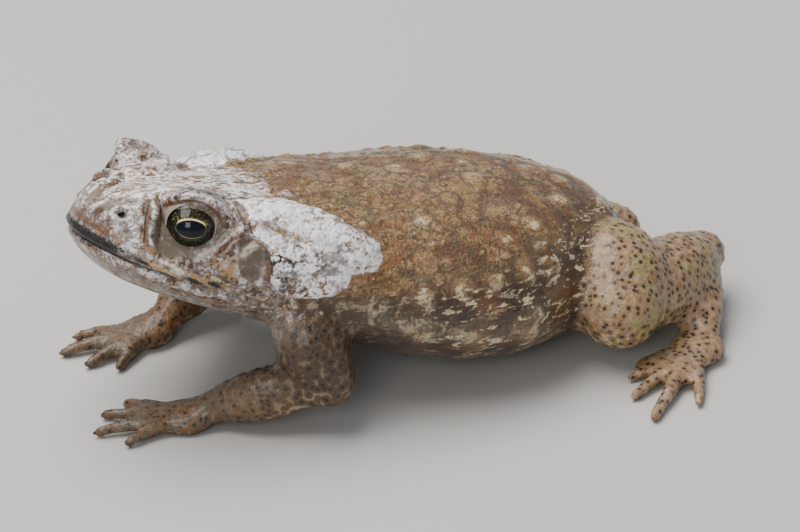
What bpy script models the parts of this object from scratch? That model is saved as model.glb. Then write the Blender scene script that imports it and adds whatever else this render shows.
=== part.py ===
"""Cane toad (Rhinella marina): a life-size still model of a large adult, sitting with its head raised.

The toad faces -X with its left side towards -Y, +Z is up, and it rests on the plane z = 0. The flesh is
blocked out from lofts, tubes and ellipsoids, fused by a voxel remesh, and then parted with thin cuts into
the nodes that a person would name. Lengths below are in millimetres at the built size, and every one of
them scales with SNOUT_VENT_LENGTH.
"""

import math
import random

import bmesh
import bpy
from mathutils import Matrix, Quaternion, Vector
from mathutils.bvhtree import BVHTree

# Driving dimensions
SNOUT_VENT_LENGTH = 0.145
LISTED_LENGTH = 145.0
UNIT = SNOUT_VENT_LENGTH / LISTED_LENGTH
SEAM = 0.3
SIDES = {"left": -1, "right": 1}

# Head carriage: the snout's tip, how far the nose is raised, the turn to the left, and the lean
SNOUT_TIP = Vector((-69.3, -4.0, 47.0))
HEAD_PITCH = math.radians(14.5)
HEAD_YAW = math.radians(5)
HEAD_ROLL = math.radians(-3)

# Head sections, level and measured from the snout's tip: back, half width, top, bottom, roundness of the top
HEAD_SECTIONS = [
    (0.9, 5.0, 4.6, -1.4, 2.0),
    (2.8, 9.6, 8.0, -4.0, 1.75),
    (6.0, 14.2, 10.4, -6.6, 1.65),
    (10.5, 18.4, 11.8, -8.8, 1.65),
    (16.0, 22.4, 12.4, -10.4, 1.65),
    (23.0, 25.4, 12.8, -12.0, 1.75),
    (31.0, 27.4, 13.2, -13.8, 1.9),
    (39.0, 28.4, 13.4, -15.6, 2.0),
    (48.0, 28.0, 12.4, -16.5, 2.1),
]
HEAD_ENDS = ((-0.6, 0.0, 2.0), (56.0, 0.0, -1.0))

# Trunk sections: along the body, half width, top, bottom
TRUNK_SECTIONS = [
    (-34.0, 22.0, 49.5, 26.0),
    (-26.0, 28.0, 49.5, 20.0),
    (-14.0, 33.0, 47.0, 12.5),
    (0.0, 37.0, 44.5, 6.0),
    (14.0, 39.0, 42.8, 1.6),
    (28.0, 37.5, 41.2, -0.9),
    (40.0, 31.5, 39.0, -0.9),
    (50.0, 24.0, 36.0, 0.4),
    (59.0, 17.0, 32.0, 3.0),
    (66.0, 10.0, 25.0, 7.0),
]
TRUNK_ENDS = ((-39.0, 0.0, 37.75), (70.0, 0.0, 15.0))

# Roundness of the trunk above and below its widest level, and how high that level lies in the section
TRUNK_ROUNDNESS = (2.15, 1.75)
HEAD_UNDERSIDE_ROUNDNESS = 2.3
WIDEST_LEVEL = 0.46

# Eyes and ears, in the level head's measures; the dome of each upper lid bulges out and up from its eye
EYE_CENTRE = Vector((20.3, 13.8, 7.8))
EYE_GAZE = Vector((-0.55, 1.0, 0.12))
EYE_RADIUS = 6.3
CORNEA_RADIUS = 5.6
CORNEA_SHIFT = 1.6
LID_RADIUS = 7.0
LID_SHIFT = Vector((0.2, 0.8, 3.0))
EYE_OPENING = (5.3, 4.8)
OPENING_START = 1.0
OPENING_DEPTH = 14.0
OPENING_FLARE = 1.1
TYMPANUM_CENTRE = Vector((31.0, 25.6, 2.9))
TYMPANUM_HALF_SIZES = (3.5, 1.5, 3.9)
TYMPANUM_TURN = math.radians(8)
NOSTRIL = Vector((5.6, 8.6, 8.0))
NOSTRIL_HALF_SIZES = (1.1, 1.4, 0.9)

# Mouth line in the level head's side view: back, height
MOUTH_LINE = [(-5.0, 0.6), (0.0, 0.0), (6.0, -1.4), (14.0, -3.0), (22.0, -4.0), (29.0, -4.9), (35.0, -6.6)]
MOUTH_GAP = 0.5
MOUTH_REACH = 60.0
JAW_REAR = (44.0, -9.5)
NECK_CUT_BACK = 41.0
NECK_CUT_RADIUS = 60.0

# Bony crests of the head, seen from above in its level measures, each a run of (back, side, radius)
CRESTS = {
    "canthal": [(2.2, 4.2, 0.8), (5.5, 6.6, 1.0), (9.0, 8.2, 1.1), (11.6, 8.6, 1.2)],
    "supraorbital": [(11.6, 8.6, 1.3), (15.0, 7.4, 1.5), (20.0, 7.4, 1.5), (24.6, 9.4, 1.4), (27.0, 12.4, 1.3)],
    "preorbital": [(11.4, 9.0, 1.1), (10.8, 12.6, 1.1), (10.8, 16.0, 1.0)],
    "postorbital": [(26.0, 11.0, 1.3), (27.2, 16.0, 1.2), (28.2, 20.6, 1.1)],
}
CREST_CAST_HEIGHT = 40.0
CREST_RISE = 0.5

# Parotoid glands over the shoulders, turned with the neck: front and rear ends, then the shape that both share
PAROTOID_ENDS = {
    "left": (Vector((-34.5, -15.5, 48.3)), Vector((-10.0, -27.5, 41.0))),
    "right": (Vector((-37.5, 13.0, 47.2)), Vector((-15.0, 27.5, 40.0))),
}
PAROTOID_HALF_WIDTH = 9.2
PAROTOID_HALF_HEIGHT = 4.9
GLAND_OVERRUN = 4.0
GLAND_TAPER = 0.30
GLAND_LEAN = (0.66, 0.75)

# Limb joints: the left hind leg is half opened, the right one folded against the flank
ARM_JOINTS = {
    "left": {
        "shoulder": (-26.0, -26.0, 29.0),
        "elbow": (-21.0, -32.0, 13.5),
        "wrist": (-43.0, -18.0, 5.0),
        "fingers": (-0.93, 0.37),
    },
    "right": {
        "shoulder": (-28.0, 24.0, 28.0),
        "elbow": (-16.0, 38.0, 13.0),
        "wrist": (-35.0, 27.0, 5.0),
        "fingers": (-0.95, -0.18),
    },
}
LEG_JOINTS = {
    "left": {
        "hip": (58.0, -10.0, 19.0),
        "knee": (53.0, -31.0, 14.0),
        "ankle": (86.0, -8.0, 11.0),
        "instep": (74.0, -33.0, 4.0),
        "toes": (-0.80, -0.60),
    },
    "right": {
        "hip": (56.0, 10.0, 19.0),
        "knee": (42.0, 36.0, 14.0),
        "ankle": (75.0, 14.0, 10.0),
        "instep": (66.0, 39.0, 4.0),
        "toes": (-0.66, 0.75),
    },
}

# Each limb's joints, the names of its lengths, the radii of the cuts at its inner joints, and its last line
LIMB_PARTS = {
    "arm": (("shoulder", "elbow", "wrist"), ("upper_arm", "forearm", "hand"), (30, 9), "fingers"),
    "leg": (("hip", "knee", "ankle", "instep"), ("thigh", "shank", "tarsus", "foot"), (60, 30, 10), "toes"),
}

# Muscles of the limbs: half width, half height, and how far each runs past its joints
UPPER_ARM = (8.6, 8.2, 3.0)
FOREARM = (6.6, 6.0, 2.6)
THIGH = (14.0, 13.0, 5.0)
SHANK = (10.0, 9.6, 3.0)
TARSUS = (5.0, 4.4, 3.0)

# Half sizes of the joints and of the pads of the hands and feet
ELBOW = (6.6, 6.4, 6.6)
WRIST = (4.4, 4.4, 3.6)
PALM = (6.6, 6.4, 3.0)
KNEE = (9.4, 9.0, 9.0)
ANKLE = (6.2, 6.0, 5.8)
SOLE = (6.8, 6.8, 3.0)
PALM_REACH = 6.0
SOLE_REACH = 4.0
PALM_HEIGHT = 2.2

# Digits, from the innermost outwards: turn from the limb's line in degrees, length, radius at the root
FINGERS = [(34, 12.5, 1.9), (12, 15.0, 1.9), (-12, 16.5, 1.9), (-36, 12.5, 1.8)]
TOES = [(40, 11.0, 1.7), (24, 16.0, 1.8), (8, 22.0, 1.9), (-8, 29.0, 2.0), (-26, 20.0, 1.8)]
DIGIT_ROOT = 2.8
PAD_EDGE = 4.2
KNUCKLE_SHARE = 0.48
KNUCKLE_HEIGHT = 2.3
FINGERTIP_HEIGHT = 1.1
DIGIT_TAPER = (1.0, 0.88, 0.76)
WEB_REACH = 0.45
WEB_HEIGHTS = (0.2, 2.2)

# Warts on the back, spread by a seeded draw, and the row along each flank: angles are from straight up
WART_SEED = 7
WART_TRIES = 900
WART_COUNT = 38
WART_RADII = (1.5, 2.7)
WART_HEIGHT = 0.62
WART_SPACING = 3.4
WART_CLEARANCE = 1.2
BACK_RANGE = (-16.0, 60.0)
BACK_SPREAD = 62.0
FLANK_START = 2.0
FLANK_STEP = 8.5
FLANK_COUNT = 6
FLANK_ANGLE = 74.0
FLANK_RADIUS = 2.5
WART_AXIS_HEIGHT = 20.0

# Fineness of the fused surface, and how far the trunk and head reach past their blocks
VOXEL = 0.95
SMOOTHING_ROUNDS = 5
FLESH_TRIANGLES = 7200
TRUNK_REGION_MARGIN = 1.6
HEAD_REGION_MARGIN = 5.0

# How many points go round each section, muscle, ball, eye, eardrum, gland, wart and cutter
SECTION_POINTS = 32
MUSCLE_POINTS = 24
BALL_POINTS = 16
EYE_POINTS = 16
EARDRUM_POINTS = 12
GLAND_POINTS = (16, 12)
WART_POINTS = (7, 4)
CUTTER_POINTS = 24

# The block that trims the flats, the place along the body that tells arms from legs, and the sharpest smooth edge
BELOW_FLOOR = (600.0, 600.0, 300.0)
LIMB_DIVIDE = 15.0
SHARP_ANGLE = math.radians(40)

# The finish of each kind of piece, and its roughness
FINISHES = {
    "torso": "skin_back",
    "head": "skin_head",
    "lower_jaw": "skin_head",
    "parotoid": "gland",
    "eye": "eye",
    "tympanum": "tympanum",
}
ROUGHNESS = {"skin_back": 0.5, "skin_head": 0.4, "skin_limb": 0.5, "gland": 0.35, "eye": 0.06, "tympanum": 0.45}
COLOURS = {
    "skin_back": (0.33, 0.22, 0.12, 1.0),
    "skin_head": (0.50, 0.43, 0.36, 1.0),
    "skin_limb": (0.36, 0.25, 0.15, 1.0),
    "gland": (0.62, 0.56, 0.52, 1.0),
    "eye": (0.05, 0.05, 0.03, 1.0),
    "tympanum": (0.36, 0.24, 0.13, 1.0),
}


def clear_scene():
    """Remove whatever the file starts with."""
    for obj in list(bpy.data.objects):
        bpy.data.objects.remove(obj)


def collection_named(name):
    """A new collection in the scene."""
    made = bpy.data.collections.new(name)
    bpy.context.scene.collection.children.link(made)
    return made


def material_named(name):
    """A Principled material of one of the toad's colours, made once."""
    if name in bpy.data.materials:
        return bpy.data.materials[name]
    material = bpy.data.materials.new(name)
    material.use_nodes = True
    shader = material.node_tree.nodes["Principled BSDF"]
    shader.inputs["Base Color"].default_value = COLOURS[name]
    shader.inputs["Roughness"].default_value = ROUGHNESS[name]
    shader.inputs["Metallic"].default_value = 0.0
    material.diffuse_color = COLOURS[name]
    return material


def object_from(bm, name, collection):
    """An object holding the bmesh, in metres."""
    mesh = bpy.data.meshes.new(name)
    bm.to_mesh(mesh)
    bm.free()
    obj = bpy.data.objects.new(name, mesh)
    collection.objects.link(obj)
    return obj


def scaled(vector):
    """A listed length or place, as metres."""
    return Vector(vector) * UNIT


def head_to_body():
    """The matrix that carries the level head's measures to its place on the body, in metres."""
    turn = Matrix.Rotation(HEAD_YAW, 4, "Z") @ Matrix.Rotation(HEAD_PITCH, 4, "Y")
    turn = turn @ Matrix.Rotation(HEAD_ROLL, 4, "X")
    return Matrix.Translation(scaled(SNOUT_TIP)) @ turn @ Matrix.Scale(UNIT, 4)


def ring_points(half_width, top, bottom, roundness, underside, count):
    """Points round an egg-shaped section, with a superellipse of its own above and below the widest level."""
    middle = bottom + (top - bottom) * WIDEST_LEVEL
    points = []
    for step in range(count):
        angle = 2 * math.pi * step / count
        across, upward = math.cos(angle), math.sin(angle)
        power = 2.0 / (roundness if upward > 0 else underside)
        y = half_width * math.copysign(abs(across) ** power, across)
        height = top - middle if upward > 0 else middle - bottom
        z = middle + height * math.copysign(abs(upward) ** power, upward)
        points.append((y, z))
    return points


def loft(name, sections, ends, collection, place=None):
    """A closed skin through the sections, each (x, points of its ring), closed by one point at each end."""
    bm = bmesh.new()
    rings = []
    for x, ring in sections:
        verts = [bm.verts.new((x, y, z)) for y, z in ring]
        for a, b in zip(verts, verts[1:] + verts[:1]):
            bm.edges.new((a, b))
        rings.append(verts)
    for first, second in zip(rings, rings[1:]):
        edges = [bm.edges.get((a, b)) for r in (first, second) for a, b in zip(r, r[1:] + r[:1])]
        bmesh.ops.bridge_loops(bm, edges=edges)
    for ring, end in ((rings[0], ends[0]), (rings[-1], ends[1])):
        tip = bm.verts.new(end)
        for a, b in zip(ring, ring[1:] + ring[:1]):
            bm.faces.new((a, b, tip))
    bmesh.ops.recalc_face_normals(bm, faces=bm.faces)
    bmesh.ops.transform(bm, matrix=place or Matrix.Scale(UNIT, 4), verts=bm.verts)
    return object_from(bm, name, collection)


def ellipsoid(name, centre, axes, collection, turn=None, segments=MUSCLE_POINTS, place=None):
    """A closed ellipsoid with the three half axes, turned and put at the centre."""
    bm = bmesh.new()
    bmesh.ops.create_uvsphere(bm, u_segments=segments, v_segments=segments // 2, radius=1.0)
    shape = Matrix.Diagonal((*axes, 1.0))
    matrix = Matrix.Translation(centre) @ (turn or Matrix.Identity(4)) @ shape
    bmesh.ops.transform(bm, matrix=(place or Matrix.Scale(UNIT, 4)) @ matrix, verts=bm.verts)
    return object_from(bm, name, collection)


def muscle(name, start, end, half_width, half_height, overrun, collection):
    """An ellipsoid that lies along the line from start to end and runs past both by the overrun."""
    start, end = Vector(start), Vector(end)
    along = end - start
    turn = along.to_track_quat("X", "Z").to_matrix().to_4x4()
    axes = (along.length / 2 + overrun, half_width, half_height)
    return ellipsoid(name, (start + end) / 2, axes, collection, turn)


def mesh_of(obj):
    """A copy of the object's evaluated mesh."""
    bpy.context.view_layer.update()
    graph = bpy.context.evaluated_depsgraph_get()
    return bpy.data.meshes.new_from_object(obj.evaluated_get(graph))


def settle(obj):
    """Replace the object's mesh by its evaluated one, and drop the modifiers."""
    fresh = mesh_of(obj)
    obj.modifiers.clear()
    old = obj.data
    obj.data = fresh
    bpy.data.meshes.remove(old)
    return obj


def tube(name, points, radii, collection, place=None, sides=4):
    """A round tube through the points, with its own radius at each, as a welded mesh with round-ish ends."""
    matrix = place or Matrix.Scale(UNIT, 4)
    curve = bpy.data.curves.new(name, "CURVE")
    curve.dimensions = "3D"
    curve.bevel_depth = 1.0
    curve.bevel_resolution = sides
    curve.use_fill_caps = True
    spline = curve.splines.new("POLY")
    spline.points.add(len(points) - 1)
    for spot, point, radius in zip(spline.points, points, radii):
        spot.co = (*point, 1.0)
        spot.radius = radius
    guide = bpy.data.objects.new(name + "_line", curve)
    collection.objects.link(guide)
    mesh = mesh_of(guide)
    bpy.data.objects.remove(guide)
    bm = bmesh.new()
    bm.from_mesh(mesh)
    bmesh.ops.remove_doubles(bm, verts=bm.verts, dist=1e-5)
    bmesh.ops.recalc_face_normals(bm, faces=bm.faces)
    bmesh.ops.transform(bm, matrix=matrix, verts=bm.verts)
    return object_from(bm, name, collection)


def rounded_tube(name, points, radii, collection, place=None):
    """A tube with a ball at each end."""
    made = [tube(name, points, radii, collection, place)]
    for label, point, radius in (("start", points[0], radii[0]), ("end", points[-1], radii[-1])):
        axes = (radius, radius, radius)
        made.append(ellipsoid(f"{name}_{label}", Vector(point), axes, collection, None, BALL_POINTS, place))
    return made


def join(objects, name):
    """One object holding the meshes of all of these, which are then removed."""
    bm = bmesh.new()
    for obj in objects:
        obj.data.transform(obj.matrix_world)
        bm.from_mesh(obj.data)
    collection = objects[0].users_collection[0]
    for obj in objects:
        bpy.data.objects.remove(obj)
    return object_from(bm, name, collection)


def boolean(obj, other, operation, solver="EXACT"):
    """Apply one Boolean with another object, or with a collection of them, and drop the modifier."""
    step = obj.modifiers.new("Boolean", "BOOLEAN")
    step.operation = operation
    step.solver = solver
    if isinstance(other, bpy.types.Collection):
        step.operand_type = "COLLECTION"
        step.collection = other
    else:
        step.object = other
    return settle(obj)


def closed_pieces(obj):
    """The separate closed surfaces of the mesh, each as a bmesh, the largest first."""
    bm = bmesh.new()
    bm.from_mesh(obj.data)
    left = set(bm.verts)
    groups = []
    while left:
        stack = [left.pop()]
        group = set(stack)
        while stack:
            for edge in stack.pop().link_edges:
                for vert in edge.verts:
                    if vert in left:
                        left.remove(vert)
                        group.add(vert)
                        stack.append(vert)
        groups.append(group)
    pieces = []
    for group in groups:
        index = {vert: i for i, vert in enumerate(sorted(group, key=lambda v: v.index))}
        piece = bmesh.new()
        verts = [piece.verts.new(vert.co) for vert in index]
        faces = {face for vert in group for face in vert.link_faces}
        for face in sorted(faces, key=lambda f: f.index):
            piece.faces.new([verts[index[vert]] for vert in face.verts])
        pieces.append(piece)
    bm.free()
    return sorted(pieces, key=lambda piece: -abs(piece.calc_volume()))


def keep_largest(obj):
    """Leave only the largest closed surface of the object."""
    pieces = closed_pieces(obj)
    pieces[0].to_mesh(obj.data)
    for piece in pieces:
        piece.free()
    return obj


def copy_of(obj, name, collection):
    """A second object with its own copy of the mesh."""
    twin = bpy.data.objects.new(name, obj.data.copy())
    collection.objects.link(twin)
    return twin


def grown(obj, name, distance, collection):
    """A copy of the object with its surface moved out by the distance."""
    twin = copy_of(obj, name, collection)
    bm = bmesh.new()
    bm.from_mesh(twin.data)
    bm.normal_update()
    for vert, normal in [(vert, vert.normal.copy()) for vert in bm.verts]:
        vert.co += normal * distance * UNIT
    bm.to_mesh(twin.data)
    bm.free()
    return twin


def seam_disc(name, centre, normal, radius, collection, thickness=SEAM):
    """A thin round cutter, across the line of a limb."""
    bm = bmesh.new()
    bmesh.ops.create_cone(
        bm, cap_ends=True, segments=CUTTER_POINTS, radius1=radius, radius2=radius, depth=thickness
    )
    turn = Vector(normal).to_track_quat("Z", "X").to_matrix().to_4x4()
    bmesh.ops.transform(bm, matrix=Matrix.Scale(UNIT, 4) @ Matrix.Translation(centre) @ turn, verts=bm.verts)
    return object_from(bm, name, collection)


def head_block(collection):
    """The head without its crests: a loft from the snout's tip into the neck, with a lid dome over each eye."""
    sections = []
    for x, half, top, low, roundness in HEAD_SECTIONS:
        sections.append((x, ring_points(half, top, low, roundness, HEAD_UNDERSIDE_ROUNDNESS, SECTION_POINTS)))
    place = head_to_body()
    made = [loft("head_block", sections, HEAD_ENDS, collection, place)]
    for side in SIDES:
        centre = side_point(EYE_CENTRE + LID_SHIFT, side)
        axes = (LID_RADIUS, LID_RADIUS, LID_RADIUS)
        made.append(ellipsoid("lid_dome", centre, axes, collection, None, MUSCLE_POINTS, place))
    return made


def trunk_block(collection):
    """The trunk, from the neck to the vent."""
    sections = []
    for x, half, top, low in TRUNK_SECTIONS:
        sections.append((x, ring_points(half, top, low, *TRUNK_ROUNDNESS, SECTION_POINTS)))
    return loft("trunk_block", sections, TRUNK_ENDS, collection)


def digit_blocks(name, pad, line, side, digit, collection):
    """One finger or toe, fanned out from the pad of its hand or foot, with the place of its tip."""
    turn, length, radius = digit
    heading = Quaternion((0, 0, 1), math.radians(turn * SIDES[side])) @ line
    root = pad + heading * DIGIT_ROOT
    knuckle = pad + heading * (PAD_EDGE + length * KNUCKLE_SHARE)
    tip = pad + heading * (PAD_EDGE + length)
    knuckle.z, tip.z = KNUCKLE_HEIGHT, FINGERTIP_HEIGHT
    radii = [radius * share for share in DIGIT_TAPER]
    return rounded_tube(name, [root, knuckle, tip], radii, collection), tip


def arm_blocks(side, collection):
    """Upper arm, forearm and hand of one side."""
    joints = ARM_JOINTS[side]
    shoulder, elbow, wrist = (Vector(joints[key]) for key in ("shoulder", "elbow", "wrist"))
    made = [
        muscle("upper_arm", shoulder, elbow, *UPPER_ARM, collection),
        ellipsoid("elbow", elbow, ELBOW, collection),
        muscle("forearm", elbow, wrist, *FOREARM, collection),
        ellipsoid("wrist", wrist, WRIST, collection),
    ]
    line = Vector((*joints["fingers"], 0.0)).normalized()
    palm = wrist + line * PALM_REACH
    palm.z = PALM_HEIGHT
    made.append(ellipsoid("palm", palm, PALM, collection))
    for finger in FINGERS:
        blocks, _ = digit_blocks("finger", palm, line, side, finger, collection)
        made += blocks
    return made


def web_blade(first, second, root, collection):
    """The web between two toes: a thin three-sided plate from the root along part of both."""
    bm = bmesh.new()
    corners = [root, root + (first - root) * WEB_REACH, root + (second - root) * WEB_REACH]
    below = [bm.verts.new((p.x, p.y, WEB_HEIGHTS[0])) for p in corners]
    above = [bm.verts.new((p.x, p.y, WEB_HEIGHTS[1])) for p in corners]
    bm.faces.new(below)
    bm.faces.new(above)
    for i in range(3):
        j = (i + 1) % 3
        bm.faces.new((below[i], below[j], above[j], above[i]))
    bmesh.ops.recalc_face_normals(bm, faces=bm.faces)
    bmesh.ops.scale(bm, vec=(UNIT, UNIT, UNIT), verts=bm.verts)
    return object_from(bm, "web", collection)


def leg_blocks(side, collection):
    """Thigh, shank, tarsus and foot of one side."""
    joints = LEG_JOINTS[side]
    hip, knee, ankle, instep = (Vector(joints[key]) for key in ("hip", "knee", "ankle", "instep"))
    made = [
        muscle("thigh", hip, knee, *THIGH, collection),
        ellipsoid("knee", knee, KNEE, collection),
        muscle("shank", knee, ankle, *SHANK, collection),
        ellipsoid("ankle", ankle, ANKLE, collection),
        muscle("tarsus", ankle, instep, *TARSUS, collection),
    ]
    line = Vector((*joints["toes"], 0.0)).normalized()
    sole = instep + line * SOLE_REACH
    sole.z = PALM_HEIGHT
    made.append(ellipsoid("sole", sole, SOLE, collection))
    tips = []
    for toe in TOES:
        blocks, tip = digit_blocks("toe", sole, line, side, toe, collection)
        tips.append(tip)
        made += blocks
    for first, second in zip(tips, tips[1:]):
        made.append(web_blade(first, second, sole, collection))
    return made


def surface_of(objects):
    """A tree for finding points on the surface of these objects."""
    bm = bmesh.new()
    for obj in objects:
        bm.from_mesh(obj.data)
    tree = BVHTree.FromBMesh(bm)
    bm.free()
    return tree


def crest_blocks(surface, collection):
    """The bony crests, laid on the head's surface from above in the level head's measures."""
    place = head_to_body()
    down = (place.to_3x3() @ Vector((0, 0, -1))).normalized()
    made = []
    for name, run in CRESTS.items():
        for side in SIDES.values():
            points = []
            for back, across, radius in run:
                start = place @ Vector((back, side * across, CREST_CAST_HEIGHT))
                hit, normal, _, _ = surface.ray_cast(start, down)
                points.append((hit + normal * (radius * CREST_RISE * UNIT), radius))
            spots = [point / UNIT for point, _ in points]
            made += rounded_tube(name, spots, [radius for _, radius in points], collection)
    return made


def fused_flesh(collection):
    """The whole body as one smooth closed surface."""
    blocks = head_block(collection)
    blocks.append(trunk_block(collection))
    blocks += crest_blocks(surface_of(blocks), collection)
    for side in SIDES:
        blocks += arm_blocks(side, collection)
        blocks += leg_blocks(side, collection)
    flesh = join(blocks, "flesh")
    remesh = flesh.modifiers.new("Remesh", "REMESH")
    remesh.mode = "VOXEL"
    remesh.voxel_size = VOXEL * UNIT
    remesh.adaptivity = 0.0
    settle(flesh)
    smooth = flesh.modifiers.new("Smooth", "SMOOTH")
    smooth.factor = 0.5
    smooth.iterations = SMOOTHING_ROUNDS
    settle(flesh)
    thin = flesh.modifiers.new("Decimate", "DECIMATE")
    thin.ratio = FLESH_TRIANGLES / (2 * len(flesh.data.polygons))
    thin.use_collapse_triangulate = True
    settle(flesh)
    return keep_largest(flesh)


def trunk_region(name, extra, collection):
    """The space of the trunk and head, a margin larger than they are, for parting the limbs from them."""
    trunk = trunk_block(collection)
    region = grown(trunk, name, TRUNK_REGION_MARGIN + extra, collection)
    bpy.data.objects.remove(trunk)
    blocks = head_block(collection)
    for block in blocks:
        swollen = grown(block, "swollen", HEAD_REGION_MARGIN + extra, collection)
        boolean(region, swollen, "UNION")
        bpy.data.objects.remove(swollen)
        bpy.data.objects.remove(block)
    return region


def floor_cut(obj, collection):
    """Trim what reaches under the floor, which leaves the small flats that the toad rests on."""
    bm = bmesh.new()
    bmesh.ops.create_cube(bm, size=1.0)
    below = Matrix.Translation((0.0, 0.0, -BELOW_FLOOR[2] / 2)) @ Matrix.Diagonal((*BELOW_FLOOR, 1.0))
    bmesh.ops.transform(bm, matrix=Matrix.Scale(UNIT, 4) @ below, verts=bm.verts)
    cutter = object_from(bm, "below_floor", collection)
    boolean(obj, cutter, "DIFFERENCE")
    bpy.data.objects.remove(cutter)


def centroid(bm):
    """The mean of the vertices."""
    total = Vector()
    for vert in bm.verts:
        total += vert.co
    return total / len(bm.verts)


def cut_by(obj, cutter, solver="EXACT"):
    """Take the cutter's shape out of the object, and remove the cutter."""
    boolean(obj, cutter, "DIFFERENCE", solver)
    bpy.data.objects.remove(cutter)


def halves(obj, cutter, towards, names, collection):
    """Cut the object in two, where EXACT can lose a half: the piece further along the direction comes first."""
    cut_by(obj, cutter, "MANIFOLD")
    pieces = closed_pieces(obj)
    if len(pieces) < 2:
        raise ValueError(f"the cut between {names[0]} and {names[1]} doesn't go through")
    ahead, behind = sorted(pieces[:2], key=lambda piece: -centroid(piece).dot(towards))
    bpy.data.objects.remove(obj)
    return object_from(ahead, names[0], collection), object_from(behind, names[1], collection)


def part_limb(limb, side, kind, collection):
    """Cut one limb into its named lengths from the tip inwards, halving the angle of each joint."""
    keys, names, radii, last = LIMB_PARTS[kind]
    joints = (ARM_JOINTS if kind == "arm" else LEG_JOINTS)[side]
    points = [Vector(joints[key]) for key in keys]
    points.append(points[-1] + Vector((*joints[last], 0.0)))
    nodes = {}
    for index in range(len(names) - 1, 0, -1):
        before, at, after = points[index - 1 : index + 2]
        normal = (at - before).normalized() + (after - at).normalized()
        disc = seam_disc("seam", at, normal, radii[index - 1], collection)
        pair = (names[index], names[index - 1])
        outer, limb = halves(limb, disc, normal, pair, collection)
        nodes[f"{names[index]}_{side}"] = outer
    nodes[f"{names[0]}_{side}"] = limb
    return nodes


def limb_kind(piece):
    """Whose limb a piece is, from where it lies."""
    middle = centroid(piece)
    return ("left" if middle.y < 0 else "right"), ("arm" if middle.x < LIMB_DIVIDE * UNIT else "leg")


def part_limbs(flesh, collection):
    """Cut the limbs off round the trunk, and each into its lengths."""
    region = trunk_region("region", SEAM, collection)
    limbs = copy_of(flesh, "limbs", collection)
    boolean(limbs, region, "DIFFERENCE")
    bpy.data.objects.remove(region)
    nodes = {}
    for piece in closed_pieces(limbs)[:4]:
        side, kind = limb_kind(piece)
        nodes.update(part_limb(object_from(piece, f"{kind}_{side}", collection), side, kind, collection))
    bpy.data.objects.remove(limbs)
    return nodes


def side_point(point, side):
    """A point of the right side, mirrored for the left."""
    return Vector((point.x, point.y * SIDES[side], point.z))


def gland(side, name, growth, collection):
    """One parotoid gland: a long cushion, broad in front and narrowing to its rear end."""
    front, rear = PAROTOID_ENDS[side]
    along = rear - front
    outward = Vector((0.0, SIDES[side] * GLAND_LEAN[0], GLAND_LEAN[1]))
    upward = (outward - outward.project(along)).normalized()
    across = upward.cross(along.normalized())
    bm = bmesh.new()
    bmesh.ops.create_uvsphere(bm, u_segments=GLAND_POINTS[0], v_segments=GLAND_POINTS[1], radius=1.0)
    half_length = along.length / 2 + GLAND_OVERRUN
    for vert in bm.verts:
        taper = 1.0 - GLAND_TAPER * (0.5 + 0.5 * vert.co.x)
        local = Vector((vert.co.x, vert.co.y * taper, vert.co.z * taper))
        place = (front + rear) / 2 + along.normalized() * (local.x * (half_length + growth))
        place += across * (local.y * (PAROTOID_HALF_WIDTH + growth))
        place += upward * (local.z * (PAROTOID_HALF_HEIGHT + growth))
        vert.co = place * UNIT
    bmesh.ops.recalc_face_normals(bm, faces=bm.faces)
    return object_from(bm, name, collection)


def eyeball(side, name, growth, collection):
    """One eyeball with its bulging cornea, as one closed body."""
    place = head_to_body()
    centre = side_point(EYE_CENTRE, side)
    gaze = side_point(EYE_GAZE, side).normalized()
    ball = EYE_RADIUS + growth
    bulge = CORNEA_RADIUS + growth
    made = ellipsoid(name, centre, (ball, ball, ball), collection, None, EYE_POINTS, place)
    forward = centre + gaze * CORNEA_SHIFT
    front = ellipsoid("cornea", forward, (bulge, bulge, bulge), collection, None, EYE_POINTS, place)
    boolean(made, front, "UNION")
    bpy.data.objects.remove(front)
    return made


def eye_opening(side, collection):
    """The cutter for the gap between the lids: an oval plug from the eye's middle outwards."""
    centre, gaze = side_point(EYE_CENTRE, side), side_point(EYE_GAZE, side).normalized()
    bm = bmesh.new()
    bmesh.ops.create_cone(
        bm, cap_ends=True, segments=CUTTER_POINTS, radius1=1.0, radius2=OPENING_FLARE, depth=1.0
    )
    shape = Matrix.Diagonal((EYE_OPENING[1], EYE_OPENING[0], OPENING_DEPTH, 1.0))
    turn = gaze.to_track_quat("Z", "X").to_matrix().to_4x4()
    middle = centre + gaze * (OPENING_DEPTH / 2 + OPENING_START)
    bmesh.ops.transform(bm, matrix=head_to_body() @ Matrix.Translation(middle) @ turn @ shape, verts=bm.verts)
    return object_from(bm, "eye_opening", collection)


def tympanum(side, name, growth, collection):
    """The eardrum: a shallow oval cushion on the cheek behind the eye."""
    axes = [size + growth for size in TYMPANUM_HALF_SIZES]
    centre = side_point(TYMPANUM_CENTRE, side)
    turn = Matrix.Rotation(-TYMPANUM_TURN * SIDES[side], 4, "Z")
    return ellipsoid(name, centre, axes, collection, turn, EARDRUM_POINTS, head_to_body())


def mouth_cutter(collection):
    """A thin sheet along the mouth line and on past the jaw's corner to the neck, across the whole head."""
    bm = bmesh.new()
    run = [*MOUTH_LINE, JAW_REAR]
    near = [bm.verts.new((back, -MOUTH_REACH, height)) for back, height in run]
    far = [bm.verts.new((back, MOUTH_REACH, height)) for back, height in run]
    for a, b, c, d in zip(near, near[1:], far[1:], far):
        bm.faces.new((a, b, c, d))
    bmesh.ops.transform(bm, matrix=head_to_body(), verts=bm.verts)
    cutter = object_from(bm, "mouth_line", collection)
    sheet = cutter.modifiers.new("Solidify", "SOLIDIFY")
    sheet.thickness = MOUTH_GAP * UNIT
    sheet.offset = 0.0
    return settle(cutter)


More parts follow.
